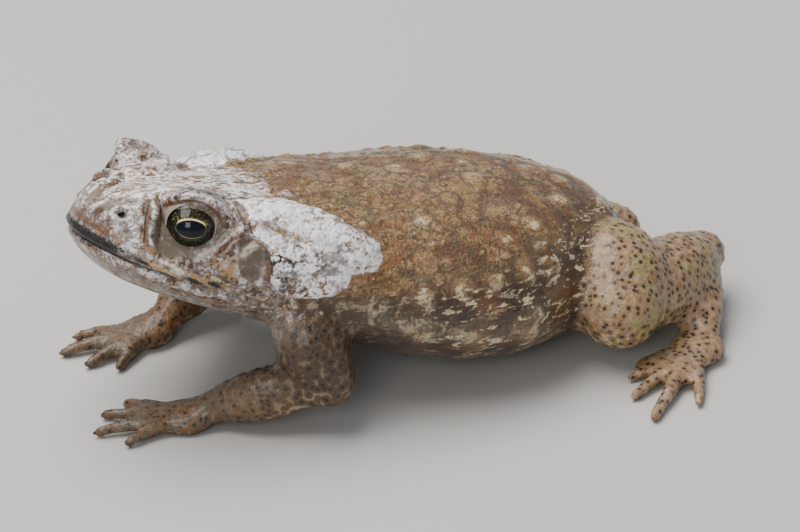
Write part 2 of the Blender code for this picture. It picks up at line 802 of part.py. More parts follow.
def part_trunk(flesh, collection):
    """Part the head, lower jaw and torso, and seat the eyes, eardrums and glands in them."""
    region = trunk_region("region", 0.0, collection)
    trunk = copy_of(flesh, "trunk", collection)
    boolean(trunk, region, "INTERSECT")
    bpy.data.objects.remove(region)
    keep_largest(trunk)
    place = head_to_body()
    nodes = {}
    for side in SIDES:
        cut_by(trunk, gland(side, "gland_seat", SEAM, collection))
        cut_by(trunk, eye_opening(side, collection))
        cut_by(trunk, eyeball(side, "eye_seat", SEAM, collection))
        cut_by(trunk, tympanum(side, "tympanum_seat", SEAM, collection))
        nostril = side_point(NOSTRIL, side)
        cut_by(trunk, ellipsoid("nostril", nostril, NOSTRIL_HALF_SIZES, collection, None, BALL_POINTS, place))
        nodes[f"parotoid_{side}"] = gland(side, f"parotoid_{side}", 0.0, collection)
        nodes[f"eye_{side}"] = eyeball(side, f"eye_{side}", 0.0, collection)
        nodes[f"tympanum_{side}"] = tympanum(side, f"tympanum_{side}", 0.0, collection)
    at = place @ Vector((NECK_CUT_BACK, 0.0, 0.0))
    back = place.to_3x3() @ Vector((1.0, 0.0, 0.0))
    neck = seam_disc("neck", at / UNIT, back, NECK_CUT_RADIUS, collection)
    nodes["torso"], skull = halves(trunk, neck, back, ("torso", "skull"), collection)
    upward = place.to_3x3() @ Vector((0.0, 0.0, 1.0))
    pair = halves(skull, mouth_cutter(collection), upward, ("head", "lower_jaw"), collection)
    nodes["head"], nodes["lower_jaw"] = pair
    return nodes


def wart(centre, normal, radius, collection):
    """One wart: a low dome of few sides, sunk into the skin to its middle."""
    bm = bmesh.new()
    bmesh.ops.create_uvsphere(bm, u_segments=WART_POINTS[0], v_segments=WART_POINTS[1], radius=1.0)
    turn = normal.to_track_quat("Z", "X").to_matrix().to_4x4()
    shape = Matrix.Diagonal((radius, radius, radius * WART_HEIGHT, 1.0))
    bmesh.ops.transform(bm, matrix=Matrix.Translation(centre) @ turn @ shape, verts=bm.verts)
    return object_from(bm, "wart", collection)


def wart_spots(torso, others):
    """Places for the warts: a row along each flank, then a seeded spread over the back, clear of other nodes."""
    skin, rest = surface_of([torso]), surface_of(others)
    rng = random.Random(WART_SEED)
    tries = []
    for side in SIDES.values():
        for index in range(FLANK_COUNT):
            tries.append((FLANK_START + index * FLANK_STEP, side * FLANK_ANGLE, FLANK_RADIUS))
    for _ in range(WART_TRIES):
        tries.append((rng.uniform(*BACK_RANGE), rng.uniform(-BACK_SPREAD, BACK_SPREAD), rng.uniform(*WART_RADII)))
    spots = []
    for along, angle, radius in tries:
        if len(spots) == WART_COUNT + 2 * FLANK_COUNT:
            break
        start = scaled((along, 0.0, WART_AXIS_HEIGHT))
        turned = math.radians(angle)
        hit, normal, _, _ = skin.ray_cast(start, Vector((0.0, math.sin(turned), math.cos(turned))))
        reach = radius * UNIT
        if rest.find_nearest(hit)[3] < reach + WART_CLEARANCE * UNIT:
            continue
        if all((hit - other).length > reach + size + WART_SPACING * UNIT for other, _, size in spots):
            spots.append((hit, normal, reach))
    return spots


def add_warts(torso, others, collection):
    """Fuse the warts with the torso by one union, where EXACT can double a face, and keep its one closed surface."""
    domes = bpy.data.collections.new("warts")
    for centre, normal, radius in wart_spots(torso, others):
        wart(centre, normal, radius, domes)
    boolean(torso, domes, "UNION", "MANIFOLD")
    for dome in list(domes.objects):
        bpy.data.objects.remove(dome)
    bpy.data.collections.remove(domes)
    return keep_largest(torso)


def centring(nodes):
    """The move that puts the middle of the toad's box over the origin, with its lowest point on the floor."""
    corners = [vert.co for node in nodes for vert in node.data.vertices]
    low = Vector([min(corner[axis] for corner in corners) for axis in range(3)])
    high = Vector([max(corner[axis] for corner in corners) for axis in range(3)])
    return Matrix.Translation((-(low.x + high.x) / 2, -(low.y + high.y) / 2, -low.z))


def finish_node(name, node, move, helpers, toad):
    """Name a node, move it to its place, and give it its finish."""
    node.name = name
    node.data.name = name
    node.data.transform(move)
    kind = name.rsplit("_", 1)[0] if name.endswith(("_left", "_right")) else name
    node.data.materials.clear()
    node.data.materials.append(material_named(FINISHES.get(kind, "skin_limb")))
    node.data.shade_smooth()
    node.data.set_sharp_from_angle(angle=SHARP_ANGLE)
    helpers.objects.unlink(node)
    toad.objects.link(node)


def main():
    """Build the toad."""
    clear_scene()
    toad = collection_named("cane_toad")
    helpers = collection_named("helpers")
    flesh = fused_flesh(helpers)
    floor_cut(flesh, helpers)
    nodes = part_limbs(flesh, helpers)
    nodes.update(part_trunk(flesh, helpers))
    bpy.data.objects.remove(flesh)
    others = [node for name, node in nodes.items() if name != "torso"]
    add_warts(nodes["torso"], others, helpers)
    move = centring(nodes.values())
    for name, node in nodes.items():
        finish_node(name, node, move, helpers, toad)


main()
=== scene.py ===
"""Looks of a life-size cane toad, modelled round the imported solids.

One skin covers all the flesh. Each eye has its ball and a ring of smooth lid. A plain studio holds them.
"""

import logging
import math
import random
from dataclasses import dataclass
from enum import Enum

import bmesh
import bpy
import numpy as np
from mathutils import Matrix, Vector
from mathutils.bvhtree import BVHTree
from mathutils.kdtree import KDTree


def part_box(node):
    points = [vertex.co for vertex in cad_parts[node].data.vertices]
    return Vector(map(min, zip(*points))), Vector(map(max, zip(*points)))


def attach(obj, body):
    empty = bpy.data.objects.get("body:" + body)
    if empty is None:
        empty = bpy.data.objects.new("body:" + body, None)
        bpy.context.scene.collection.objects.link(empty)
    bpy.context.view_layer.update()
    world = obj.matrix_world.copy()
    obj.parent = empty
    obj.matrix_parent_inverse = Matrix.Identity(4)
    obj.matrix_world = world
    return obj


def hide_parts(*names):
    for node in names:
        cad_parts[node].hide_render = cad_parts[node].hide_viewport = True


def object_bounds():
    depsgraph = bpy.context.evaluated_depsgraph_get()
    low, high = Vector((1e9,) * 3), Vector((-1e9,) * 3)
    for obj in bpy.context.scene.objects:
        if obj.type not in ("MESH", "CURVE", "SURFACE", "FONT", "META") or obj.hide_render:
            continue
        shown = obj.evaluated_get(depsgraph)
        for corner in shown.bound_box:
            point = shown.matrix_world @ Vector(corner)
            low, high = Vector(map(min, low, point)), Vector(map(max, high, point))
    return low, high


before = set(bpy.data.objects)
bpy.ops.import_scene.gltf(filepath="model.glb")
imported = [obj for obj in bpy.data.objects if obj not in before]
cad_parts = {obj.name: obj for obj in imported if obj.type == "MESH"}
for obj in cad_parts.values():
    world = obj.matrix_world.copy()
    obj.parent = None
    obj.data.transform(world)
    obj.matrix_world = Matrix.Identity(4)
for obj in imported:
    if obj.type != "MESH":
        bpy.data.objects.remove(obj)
CAD_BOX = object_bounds()

LOG = logging.getLogger("cane_toad")
MM = 0.001
KINDS = ("head", "lower_jaw", "torso", "parotoid", "tympanum", "arm", "leg", "digit")
LIMB_KINDS = {
    "upper_arm": "arm",
    "forearm": "arm",
    "thigh": "leg",
    "shank": "leg",
    "tarsus": "leg",
    "hand": "digit",
    "foot": "digit",
}
TONES = ("pearly", "rusty", "tawny", "olive", "pale", "dark")
Colour = tuple[float, float, float, float]
Spot = tuple[float, float, float]
Lump = tuple[Spot, Spot]
Points = np.ndarray
Mask = np.ndarray


class Side(Enum):
    """The two sides of the toad, with the sign of Y on each."""

    LEFT = -1
    RIGHT = 1

    @property
    def word(self) -> str:
        """The side's name as the nodes have it."""
        return self.name.lower()


@dataclass(frozen=True)
class HeadFrame:
    """The level head's measures in millimetres: x back from the snout's tip, y to the right, z up."""

    pitch: float = math.radians(14.5)
    yaw: float = math.radians(5.0)
    roll: float = math.radians(-3.0)
    eye: Spot = (20.3, 13.8, 7.8)
    gaze: Spot = (-0.55, 1.0, 0.12)
    right_gaze: Spot = (-0.85, 1.0, 0.2)
    opening: tuple[float, float] = (5.25, 4.75)
    opening_mean: float = 5.0

    @property
    def turn(self) -> np.ndarray:
        """The rotation from the level head to the toad."""
        turned = Matrix.Rotation(self.yaw, 3, "Z") @ Matrix.Rotation(self.pitch, 3, "Y")
        return np.array(turned @ Matrix.Rotation(self.roll, 3, "X"))

    @property
    def tip(self) -> np.ndarray:
        """Find the snout's tip from the two eyes.

        Returns:
            Its place in the toad's frame, in millimetres.
        """
        corners = [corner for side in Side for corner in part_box(f"eye_{side.word}")]
        middle = np.mean([np.array(corner) for corner in corners], axis=0) / MM
        return middle - self.turn @ np.array((self.eye[0], 0.0, self.eye[2]))

    def level(self, points: Points) -> Points:
        """Carry points of the toad, in metres, to the level head's millimetres."""
        return (points / MM - self.tip) @ self.turn

    def matrix(self) -> Matrix:
        """The matrix that carries a mesh in the level head's millimetres to the toad's frame."""
        turn = Matrix([list(row) for row in self.turn]).to_4x4()
        return Matrix.Translation(Vector(self.tip * MM)) @ turn @ Matrix.Scale(MM, 4)

    def eye_axes(self, side: Side) -> tuple[np.ndarray, np.ndarray, np.ndarray, np.ndarray]:
        """The eye's middle and its three axes in the level head's measures.

        Args:
            side: which eye.

        Returns:
            The middle, then the unit axes backwards, upwards and out along the gaze.
        """
        middle = np.array(self.eye) * (1, side.value, 1)
        out = np.array(self.gaze if side is Side.LEFT else self.right_gaze) * (1, side.value, 1)
        out = out / np.linalg.norm(out)
        back = np.array((1.0, 0.0, 0.0)) - out[0] * out
        back = back / np.linalg.norm(back)
        up = np.cross(back, out) * -side.value
        return middle, back, up * math.copysign(1.0, up[2]), out


HEAD = HeadFrame()


def bell(distance: Points, width: float) -> Mask:
    """A smooth hump that is 1 at no distance and fades over the width."""
    return np.exp(-((distance / width) ** 2))


def fade(value: Points, low: float, high: float) -> Mask:
    """A smooth step from 0 at low to 1 at high, which may lie in either order."""
    share = np.clip((value - low) / (high - low), 0.0, 1.0)
    return share * share * (3.0 - 2.0 * share)


def follow(points: Points, line: tuple[tuple[float, ...], ...]) -> tuple[Points, Points]:
    """How far each point is from a run of straight stretches, and how far along the run it is.

    Args:
        points: places, one row each.
        line: the run's corners, with as many numbers each as a point has.

    Returns:
        One distance a point, and the way along the run to the nearest place, from 0 to 1.
    """
    corners = np.array(line, float)
    lengths = np.linalg.norm(np.diff(corners, axis=0), axis=1)
    best = np.full(len(points), np.inf)
    way = np.zeros(len(points))
    for i, (start, end) in enumerate(zip(corners, corners[1:])):
        along = end - start
        share = np.clip(((points - start) @ along) / (along @ along), 0.0, 1.0)
        distance = np.linalg.norm(points - start - share[:, None] * along, axis=1)
        way = np.where(distance < best, (lengths[:i].sum() + share * lengths[i]) / lengths.sum(), way)
        best = np.minimum(best, distance)
    return best, way


def line_distance(points: Points, line: tuple[tuple[float, ...], ...]) -> Points:
    """How far each point is from a run of straight stretches."""
    return follow(points, line)[0]


def blob(points: Points, centre: Spot, radii: Spot) -> Mask:
    """A smooth hump that is 1 at the centre and 0 past an ellipsoid with the radii."""
    share = (((points - centre) / radii) ** 2).sum(1)
    return np.clip(1.0 - share, 0.0, 1.0) ** 1.5


def flesh() -> dict[str, bpy.types.Object]:
    """The solids that the skin stands for, which are all but the eyes."""
    return {name: node for name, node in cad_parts.items() if not name.startswith("eye_")}


def keep_values(mesh: bpy.types.Mesh, name: str, values: Mask | list[float]) -> None:
    """Keep one number a point on a mesh, for its material."""
    layer = mesh.attributes.new(name, "FLOAT", "POINT")
    layer.data.foreach_set("value", values)


def add_object(name: str, bm: bmesh.types.BMesh) -> bpy.types.Object:
    """Turn a shape into an object of the scene.

    Args:
        name: the name of the object and of its mesh.
        bm: the shape, which is freed.

    Returns:
        The object.
    """
    mesh = bpy.data.meshes.new(name)
    bm.to_mesh(mesh)
    bm.free()
    obj = bpy.data.objects.new(name, mesh)
    bpy.context.scene.collection.objects.link(obj)
    return obj


@dataclass(frozen=True)
class Scatter:
    """Scattered round humps in millimetres: their spacing, and the least and the largest radius."""

    spacing: float
    least: float
    largest: float


class Sculpt:
    """A mesh whose points are moved in code, and which carries masks for its material."""

    def __init__(self, obj: bpy.types.Object) -> None:
        """Read the object's mesh.

        Args:
            obj: the object whose mesh is shaped.
        """
        self.mesh = obj.data
        self.points = self._read(self.mesh.vertices, "co", 3)
        edges = np.empty(len(self.mesh.edges) * 2, np.int32)
        self.mesh.edges.foreach_get("vertices", edges)
        self.edges = edges.reshape(-1, 2)
        self.degree = np.bincount(self.edges.ravel(), minlength=len(self.points)).astype(float)

    @staticmethod
    def _read(rows: bpy.types.bpy_prop_collection, key: str, width: int) -> Points:
        """Read one property of every row.

        Args:
            rows: the mesh's points or its normals.
            key: the property's name.
            width: how many numbers it has.

        Returns:
            The numbers, one row each.
        """
        values = np.empty(len(rows) * width, np.float32)
        rows.foreach_get(key, values)
        return values.reshape(-1, width).astype(float)

    def normals(self) -> Points:
        """Hand the points to the mesh and measure its surface.

        Returns:
            The points' normals as the surface is now.
        """
        self.mesh.vertices.foreach_set("co", self.points.astype(np.float32).ravel())
        self.mesh.update()
        return self._read(self.mesh.vertex_normals, "vector", 3)

    def push(self, heights: Mask | float) -> None:
        """Move the points out along their normals, by millimetres for each point or for all."""
        reach = np.broadcast_to(np.asarray(heights, float), (len(self.points),))
        self.points = self.points + self.normals() * (reach * MM)[:, None]

    def average(self, values: Points) -> Points:
        """The mean of each point's neighbours.

        Args:
            values: one number, or one row of them, a point.

        Returns:
            The means, in the same shape.
        """
        first, second = self.edges[:, 0], self.edges[:, 1]
        count = len(self.points)
        columns = values.reshape(count, -1)
        means = [
            np.bincount(first, columns[second, i], count) + np.bincount(second, columns[first, i], count)
            for i in range(columns.shape[1])
        ]
        return (np.stack(means, -1) / self.degree[:, None]).reshape(values.shape)

    def smooth(self, rounds: int, where: Mask | float = 1.0) -> None:
        """Relax the points towards their neighbours.

        Args:
            rounds: how many times.
            where: how strongly, from 0 to 1, for each point or for all.
        """
        share = np.broadcast_to(np.asarray(where, float), (len(self.points),))[:, None] * 0.5
        for _ in range(rounds):
            self.points = self.points + (self.average(self.points) - self.points) * share

    def soften(self, mask: Mask, rounds: int) -> Mask:
        """Blur a mask's edge over the neighbours.

        Args:
            mask: the mask.
            rounds: how many times.

        Returns:
            The softened mask.
        """
        for _ in range(rounds):
            mask = (mask + self.average(mask)) / 2
        return mask

    def spread(self, where: Mask, spacing: float, rng: random.Random, jitter: float = 0.3) -> list[int]:
        """Draw points that keep apart from each other.

        Args:
            where: the chance, from 0 to 1, that a point may be drawn.
            spacing: the least distance between two, in millimetres.
            rng: the seeded draw.
            jitter: how much the spacing varies, as a share.

        Returns:
            The drawn points' numbers.
        """
        tree = self.tree()
        numbers = [i for i in range(len(self.points)) if where[i] > rng.random()]
        rng.shuffle(numbers)
        blocked = np.zeros(len(self.points), bool)
        drawn = []
        for i in numbers:
            if blocked[i]:
                continue
            drawn.append(i)
            reach = spacing * (1.0 + jitter * (2.0 * rng.random() - 1.0)) * MM
            blocked[[found[1] for found in tree.find_range(self.points[i], reach)]] = True
        return drawn

    def tree(self) -> KDTree:
        """Sort the points by their places.

        Returns:
            The tree that finds points near a place.
        """
        made = KDTree(len(self.points))
        for i, point in enumerate(self.points):
            made.insert(point, i)
        made.balance()
        return made

    def domes(self, centres: list[int], radii: list[float]) -> Mask:
        """Round humps of height 1 about some of the points.

        Args:
            centres: the numbers of the points.
            radii: each hump's radius in millimetres.

        Returns:
            The height of the tallest hump at each point, from 0 to 1.
        """
        tree = self.tree()
        heights = np.zeros(len(self.points))
        for i, radius in zip(centres, radii):
            for _, j, distance in tree.find_range(self.points[i], radius * MM):
                share = distance / (radius * MM)
                heights[j] = max(heights[j], (1.0 - share * share) ** 1.5)
        return heights

    def grow(self, where: Mask, humps: Scatter, rng: random.Random) -> Mask:
        """Humps of height 1 about drawn points, where the mask gives the chance of one."""
        centres = self.spread(where, humps.spacing, rng)
        return self.domes(centres, [rng.uniform(humps.least, humps.largest) for _ in centres])

    def store(self, name: str, mask: Mask) -> None:
        """Keep a mask on the mesh for the material."""
        keep_values(self.mesh, name, np.clip(mask, 0.0, 1.0).astype(np.float32))


class Wire:
    """One output of a shader node, with arithmetic that adds Math nodes."""

    def __init__(self, graph: "Graph", socket: bpy.types.NodeSocket) -> None:
        """Wrap the socket."""
        self.graph = graph
        self.socket = socket

    def __add__(self, other: "Wire | float") -> "Wire":
        """Sum."""
        return self.graph.math("ADD", self, other)

    __radd__ = __add__

    def __sub__(self, other: "Wire | float") -> "Wire":
        """Difference."""
        return self.graph.math("SUBTRACT", self, other)

    def __rsub__(self, other: float) -> "Wire":
        """Difference from a number."""
        return self.graph.math("SUBTRACT", other, self)

    def __mul__(self, other: "Wire | float") -> "Wire":
        """Product."""
        return self.graph.math("MULTIPLY", self, other)

    __rmul__ = __mul__

    def __truediv__(self, other: "Wire | float") -> "Wire":
        """Quotient."""
        return self.graph.math("DIVIDE", self, other)

    def __pow__(self, other: float) -> "Wire":
        """Power."""
        return self.graph.math("POWER", self, other)

    def either(self, other: "Wire") -> "Wire":
        """The larger of two."""
        return self.graph.math("MAXIMUM", self, other)


class Graph:
    """The node tree of one material, with one method that adds any node."""

    def __init__(self, name: str, constants: dict[str, object]) -> None:
        """Start a material, with what is the same all over it set on its shader.

        Args:
            name: the material's name.
            constants: values of the Principled shader's own sockets.
        """
        self.material = bpy.data.materials.new(name)
        self.material.use_nodes = True
        self.links = self.material.node_tree.links
        self.nodes = self.material.node_tree.nodes
        self.shader = self.nodes["Principled BSDF"]
        for key, value in constants.items():
            self.shader.inputs[key].default_value = value

    def node(
        self, kind: str, settings: dict[str, object], sockets: dict[str | int, object]
    ) -> bpy.types.Node:
        """Add one node.

        Args:
            kind: the node's type, without the words ShaderNode.
            settings: its own settings, made first.
            sockets: values or wires, by the input's name or number.

        Returns:
            The node.
        """
        made = self.nodes.new("ShaderNode" + kind)
        for key, value in settings.items():
            setattr(made, key, value)
        for key, value in sockets.items():
            self.feed(made.inputs[key], value)
        return made

    def feed(self, socket: bpy.types.NodeSocket, value: object) -> None:
        """Give an input a wire or a value.

        Args:
            socket: the input.
            value: a wire to link, or a value to set.
        """
        if isinstance(value, Wire):
            self.links.new(value.socket, socket)
        else:
            socket.default_value = value

    def drive(self, name: str, value: Wire) -> None:
        """Let a wire set one of the Principled shader's inputs."""
        self.feed(self.shader.inputs[name], value)

    def math(self, operation: str, first: "Wire | float", second: "Wire | float") -> Wire:
        """One Math node of two values."""
        made = self.node("Math", {"operation": operation}, {0: first, 1: second})
        return Wire(self, made.outputs[0])

    def mix(self, low: "Wire | Colour", high: "Wire | Colour", share: "Wire | float") -> Wire:
        """A colour between two, at the share."""
        made = self.node("Mix", {"data_type": "RGBA"}, {0: share, 6: low, 7: high})
        return Wire(self, made.outputs[2])

    def paint(self, colour: "Wire | Colour", *coats: "tuple[Wire | Colour, Wire]") -> Wire:
        """Lay colours over a first one, in turn.

        Args:
            colour: the first colour.
            coats: each colour and how strongly it covers what is under it.

        Returns:
            The colour with all the coats.
        """
        for tone, share in coats:
            colour = self.mix(colour, tone, share)
        return colour

    def step(self, value: Wire, low: float, high: float) -> Wire:
        """A smooth step of a value.

        Args:
            value: the value.
            low: where the step is 0.
            high: where it is 1, which may be less than low.

        Returns:
            The step, from 0 to 1.
        """
        sockets = {"Value": value, "From Min": low, "From Max": high}
        made = self.node("MapRange", {"interpolation_type": "SMOOTHSTEP"}, sockets)
        return Wire(self, made.outputs[0])

    def mask(self, name: str) -> Wire:
        """A mask that the mesh carries."""
        made = self.node("Attribute", {"attribute_type": "GEOMETRY", "attribute_name": name}, {})
        return Wire(self, made.outputs["Fac"])

    def place(self, stretch: Spot = (1.0, 1.0, 1.0)) -> Wire:
        """The place on the toad in millimetres.

        Args:
            stretch: how much a pattern is drawn out along each axis.

        Returns:
            The place, which grows more slowly along an axis with a stretch above 1.
        """
        source = self.node("TexCoord", {}, {})
        scale = tuple(1.0 / (MM * size) for size in stretch)
        sockets = {0: Wire(self, source.outputs["Object"]), 1: scale}
        made = self.node("VectorMath", {"operation": "MULTIPLY"}, sockets)
        return Wire(self, made.outputs[0])

    def noise(self, place: Wire, size: float, detail: float = 3.0, twist: float = 0.0) -> Wire:
        """Cloudy noise about 0.5, with lumps of the size in millimetres."""
        sockets = {"Vector": place, "Scale": 1.0 / size, "Detail": detail, "Distortion": twist}
        return Wire(self, self.node("TexNoise", {}, sockets).outputs[0])

    def cells(self, place: Wire, size: float) -> Wire:
        """Distance to the nearest of many scattered seeds, with cells of the size in millimetres."""
        sockets = {"Vector": place, "Scale": 1.0 / size}
        return Wire(self, self.node("TexVoronoi", {}, sockets).outputs[0])

    def bump(self, height: Wire, depth: float) -> None:
        """Let a height of 0 to 1, which stands for a depth in millimetres, shape the shader's normal."""
        made = self.node("Bump", {}, {"Height": height, "Distance": depth * MM})
        self.drive("Normal", Wire(self, made.outputs[0]))


class SkinGraph(Graph):
    """The skin's node tree, with the place and the three noises that all its colours share."""

    def __init__(self, name: str, constants: dict[str, object]) -> None:
        """Start the material and the shared wires.

        Args:
            name: the material's name.
            constants: values of the Principled shader's own sockets.
        """
        super().__init__(name, constants)
        self.spot = self.place()
        self.broad = self.noise(self.spot, 9.0)
        self.middling = self.noise(self.spot, 2.6, 4.0, 0.6)
        self.fine = self.noise(self.spot, 0.8, 4.0, 0.3)

    def veins(self, size: float, width: float) -> Wire:
        """Thin winding lines with lumps of the size in millimetres between them."""
        away = self.noise(self.spot, size, 3.0, 1.0) - 0.5
        return self.step(away * away, width * width, width * width * 0.1)


@dataclass(frozen=True)
class SkinFinish:
    """The toad's moist skin: brown back, pale crown and glands whose white is partly painted sheen, mottled
    face, dotted limbs, and head marks that include painted highlights and shade.
    """

    rust: Colour = (0.17, 0.070, 0.022, 1.0)
    ochre: Colour = (0.33, 0.19, 0.068, 1.0)
    umber: Colour = (0.045, 0.026, 0.015, 1.0)
    cream: Colour = (0.66, 0.56, 0.37, 1.0)
    lilac: Colour = (0.185, 0.15, 0.152, 1.0)
    # Pale pearl grey for the head's pale clouds and marks; on the tops of ridges and the domes it is partly
    # painted sheen.
    pearl_and_sheen: Colour = (0.70, 0.655, 0.66, 1.0)
    # Partly the pale skin's own white, partly a painted sheen of the sky on the wet crown and glands.
    white_and_sheen: Colour = (0.92, 0.885, 0.905, 1.0)
    ink: Colour = (0.008, 0.007, 0.007, 1.0)
    flesh: Colour = (0.29, 0.185, 0.115, 1.0)
    amber: Colour = (0.12, 0.055, 0.020, 1.0)
    olive: Colour = (0.115, 0.092, 0.062, 1.0)
    moss: Colour = (0.27, 0.235, 0.065, 1.0)
    grain_depth: float = 0.2

    def make(self) -> bpy.types.Material:
        """Build the material.

        Returns:
            The skin's material, which reads the masks that the skin carries.
        """
        constants = {
            "Subsurface Weight": 0.05,
            "Subsurface Scale": 0.001,
            "IOR": 1.42,
            "Coat Roughness": 0.12,
        }
        graph = SkinGraph("toad_skin", constants)
        middling, fine = graph.middling, graph.fine
        colour = self._back(graph)
        for part in (self._limbs, self._face, self._glands, self._crown):
            colour = part(graph, colour)
        graph.drive("Base Color", self._marks(graph, colour))
        graph.drive("Roughness", 0.28 + fine * 0.36)
        dull = graph.step(graph.mask("dark"), 0.2, 0.9).either(graph.mask("limb") * 0.8)
        graph.drive("Coat Weight", (0.2 + middling * 0.6) * (1.0 - dull * 0.6))
        grain = graph.step(graph.cells(graph.spot, 0.8), 0.7, 0.0)
        graph.bump((grain * 0.6 + fine * 0.6) * (1.0 - graph.mask("smooth") * 0.8), self.grain_depth)
        return graph.material

    def _marks(self, graph: SkinGraph, colour: Wire) -> Wire:
        """Lay the head's marks over the colour, with ragged edges.

        Args:
            graph: the skin's node tree.
            colour: the colour so far.

        Returns:
            The colour with the marks.
        """
        # Some marks paint light: the pearly tops of ridges and domes are partly painted sheen, the pale upper
        # lip partly a painted highlight, and the rusty and dark lines at the upper lid's band and the
        # socket's dark corner painted shadow and shade.
        tones = {
            "pearly": self.pearl_and_sheen,
            "rusty": self.amber,
            "tawny": self.ochre,
            "olive": self.olive,
            "pale": self.cream,
            "dark": self.ink,
        }
        shade = graph.step(graph.noise(graph.spot, 1.7, 4.0, 0.8), 0.42, 0.62)
        for name in TONES:
            ragged = graph.mask(name) + (graph.fine - 0.5) * 1.3 + (graph.middling - 0.5) * 0.6
            strong = {"dark": 1.0, "pearly": 0.92}.get(name, 0.95 - shade * 0.35)
            colour = graph.mix(colour, tones[name], graph.step(ragged, 0.30, 0.75) * strong)
        return colour

    def _back(self, graph: SkinGraph) -> Wire:
        """Rust and ochre with umber clouds, cream marbling along the flanks, cream warts, and a darker
        shoulder that is partly painted shade.

        Args:
            graph: the skin's node tree.

        Returns:
            The colour of the trunk.
        """
        broad, fine = graph.broad, graph.fine
        flank, shoulder, wart = (graph.mask(name) for name in ("flank", "shoulder", "wart"))
        swept = graph.noise(graph.place((2.6, 1.3, 1.0)), 2.2, 4.0, 0.9)
        drawn = graph.noise(graph.place((3.2, 1.2, 0.8)), 1.6, 4.0, 0.9)
        marbled = graph.paint(
            self.ink,
            (self.umber, graph.step(drawn, 0.34, 0.46)),
            (self.rust, graph.step(broad, 0.44, 0.62) * 0.55),
        )
        flecks = graph.step(drawn + (fine - 0.5) * 0.35, 0.575, 0.63) * (0.05 + flank * 0.8)
        ring = graph.step(wart, 0.02, 0.14) * graph.step(wart, 0.34, 0.18)
        top = graph.mix(self.ochre, self.cream, graph.step(fine + (graph.middling - 0.5), 0.36, 0.56))
        some = graph.step(graph.noise(graph.spot, 5.0, 1.0), 0.47, 0.56)
        spotted = graph.step(wart + (fine - 0.5) * 0.7, 0.55, 0.88)
        return graph.paint(
            self.rust,
            (self.ochre, graph.step(swept + (broad - 0.5) * 0.7, 0.36, 0.58)),
            (self.flesh, graph.step(broad, 0.50, 0.64) * 0.5),
            (self.moss, graph.step(graph.noise(graph.spot, 6.0, 3.0), 0.52, 0.66) * 0.35),
            (self.umber, graph.step(fine + (swept - 0.5) * 1.3, 0.55, 0.66) * 0.75),
            (self.umber, graph.veins(3.4, 0.035) * 0.45),
            (marbled, flank * (0.45 + graph.step(drawn, 0.63, 0.47) * 0.5)),
            # Darker shoulder beside the arm: partly the skin's deep brown, partly painted shade, with fewer
            # cream flecks.
            (self.umber, shoulder * 0.8),
            (self.cream, flecks * (1.0 - shoulder * 0.8)),
            (self.umber, ring * 0.6),
            (top, spotted * (0.16 + some * 0.66) * (1.0 - flank * 0.45)),
        )

    def _limbs(self, graph: SkinGraph, colour: Wire) -> Wire:
        """Ochre-pink legs and brown arms darkened partly as painted shade, with black dots on a net of paler
        skin.

        Args:
            graph: the skin's node tree.
            colour: the colour so far.

        Returns:
            The colour with the limbs.
        """
        broad, middling, arm = graph.broad, graph.middling, graph.mask("arm")
        # The arms' darker brown is partly painted shade.
        brown = graph.mix(self.rust, self.umber, 0.25 + graph.step(broad, 0.40, 0.60) * 0.5)
        dots = graph.cells(graph.spot, 1.6) + (graph.fine - 0.5) * 0.25
        net = graph.step(dots + (middling - 0.5) * 0.3, 0.60, 0.82)
        skin = graph.paint(
            self.flesh,
            (self.rust, graph.step(middling, 0.46, 0.62) * 0.6),
            (self.ochre, graph.step(graph.noise(graph.spot, 3.2, 4.0, 0.5), 0.42, 0.60) * 0.5),
            (self.moss, graph.step(broad, 0.52, 0.62) * 0.5),
            (brown, arm * 0.85),
            # The same darker shoulder on the upper arm: partly the skin's deep brown, partly painted shade.
            (self.umber, graph.mask("shoulder") * 0.75),
            (self.cream, net * (0.2 + graph.mask("under") * 0.5) * (1.0 - arm * 0.5)),
            (self.umber, graph.step(dots, 0.46, 0.32) * 0.5),
            (self.ink, graph.step(dots, 0.33, 0.20) * 0.9),
        )
        return graph.mix(colour, skin, graph.mask("limb"))

    def _face(self, graph: SkinGraph, colour: Wire) -> Wire:
        """Lilac-brown with pearly clouds, ochre flecks, and thin brown lines and specks.

        Args:
            graph: the skin's node tree.
            colour: the colour so far.

        Returns:
            The colour with the face.
        """
        clouds = graph.fine + (graph.middling - 0.5) * 1.4
        flecks = graph.noise(graph.spot, 2.2, 4.0, 1.5)
        skin = graph.paint(
            self.lilac,
            (self.flesh, graph.step(graph.middling, 0.52, 0.40) * 0.6),
            (self.pearl_and_sheen, graph.step(clouds, 0.50, 0.66) * 0.8),
            (self.ochre, graph.step(flecks, 0.51, 0.59) * 0.7),
            (self.umber, graph.veins(3.6, 0.06) * graph.step(graph.fine, 0.38, 0.58) * 0.8),
            (self.umber, graph.step(clouds, 0.40, 0.28) * 0.95),
        )
        return graph.mix(colour, skin, graph.mask("face"))

    def _glands(self, graph: SkinGraph, colour: Wire) -> Wire:
        """White, partly the gland's own pale skin and partly painted sheen of the sky on its wet top, with
        lilac clouds, ochre and brown patches and pits, and more mottles on the lower lobe.

        Args:
            graph: the skin's node tree.
            colour: the colour so far.

        Returns:
            The colour with the glands.
        """
        fine, middling, low = graph.fine, graph.middling, graph.mask("lobe")
        clouds = graph.noise(graph.place((1.7, 1.2, 1.0)), 3.2, 4.0, 1.0) + (fine - 0.5) * 0.5 + low * 0.05
        warm = graph.noise(graph.place((2.0, 1.2, 1.0)), 2.6, 4.0, 1.6) + (fine - 0.5) * 0.4
        mottled = fine + (middling - 0.5) * 1.6 + low * 0.07
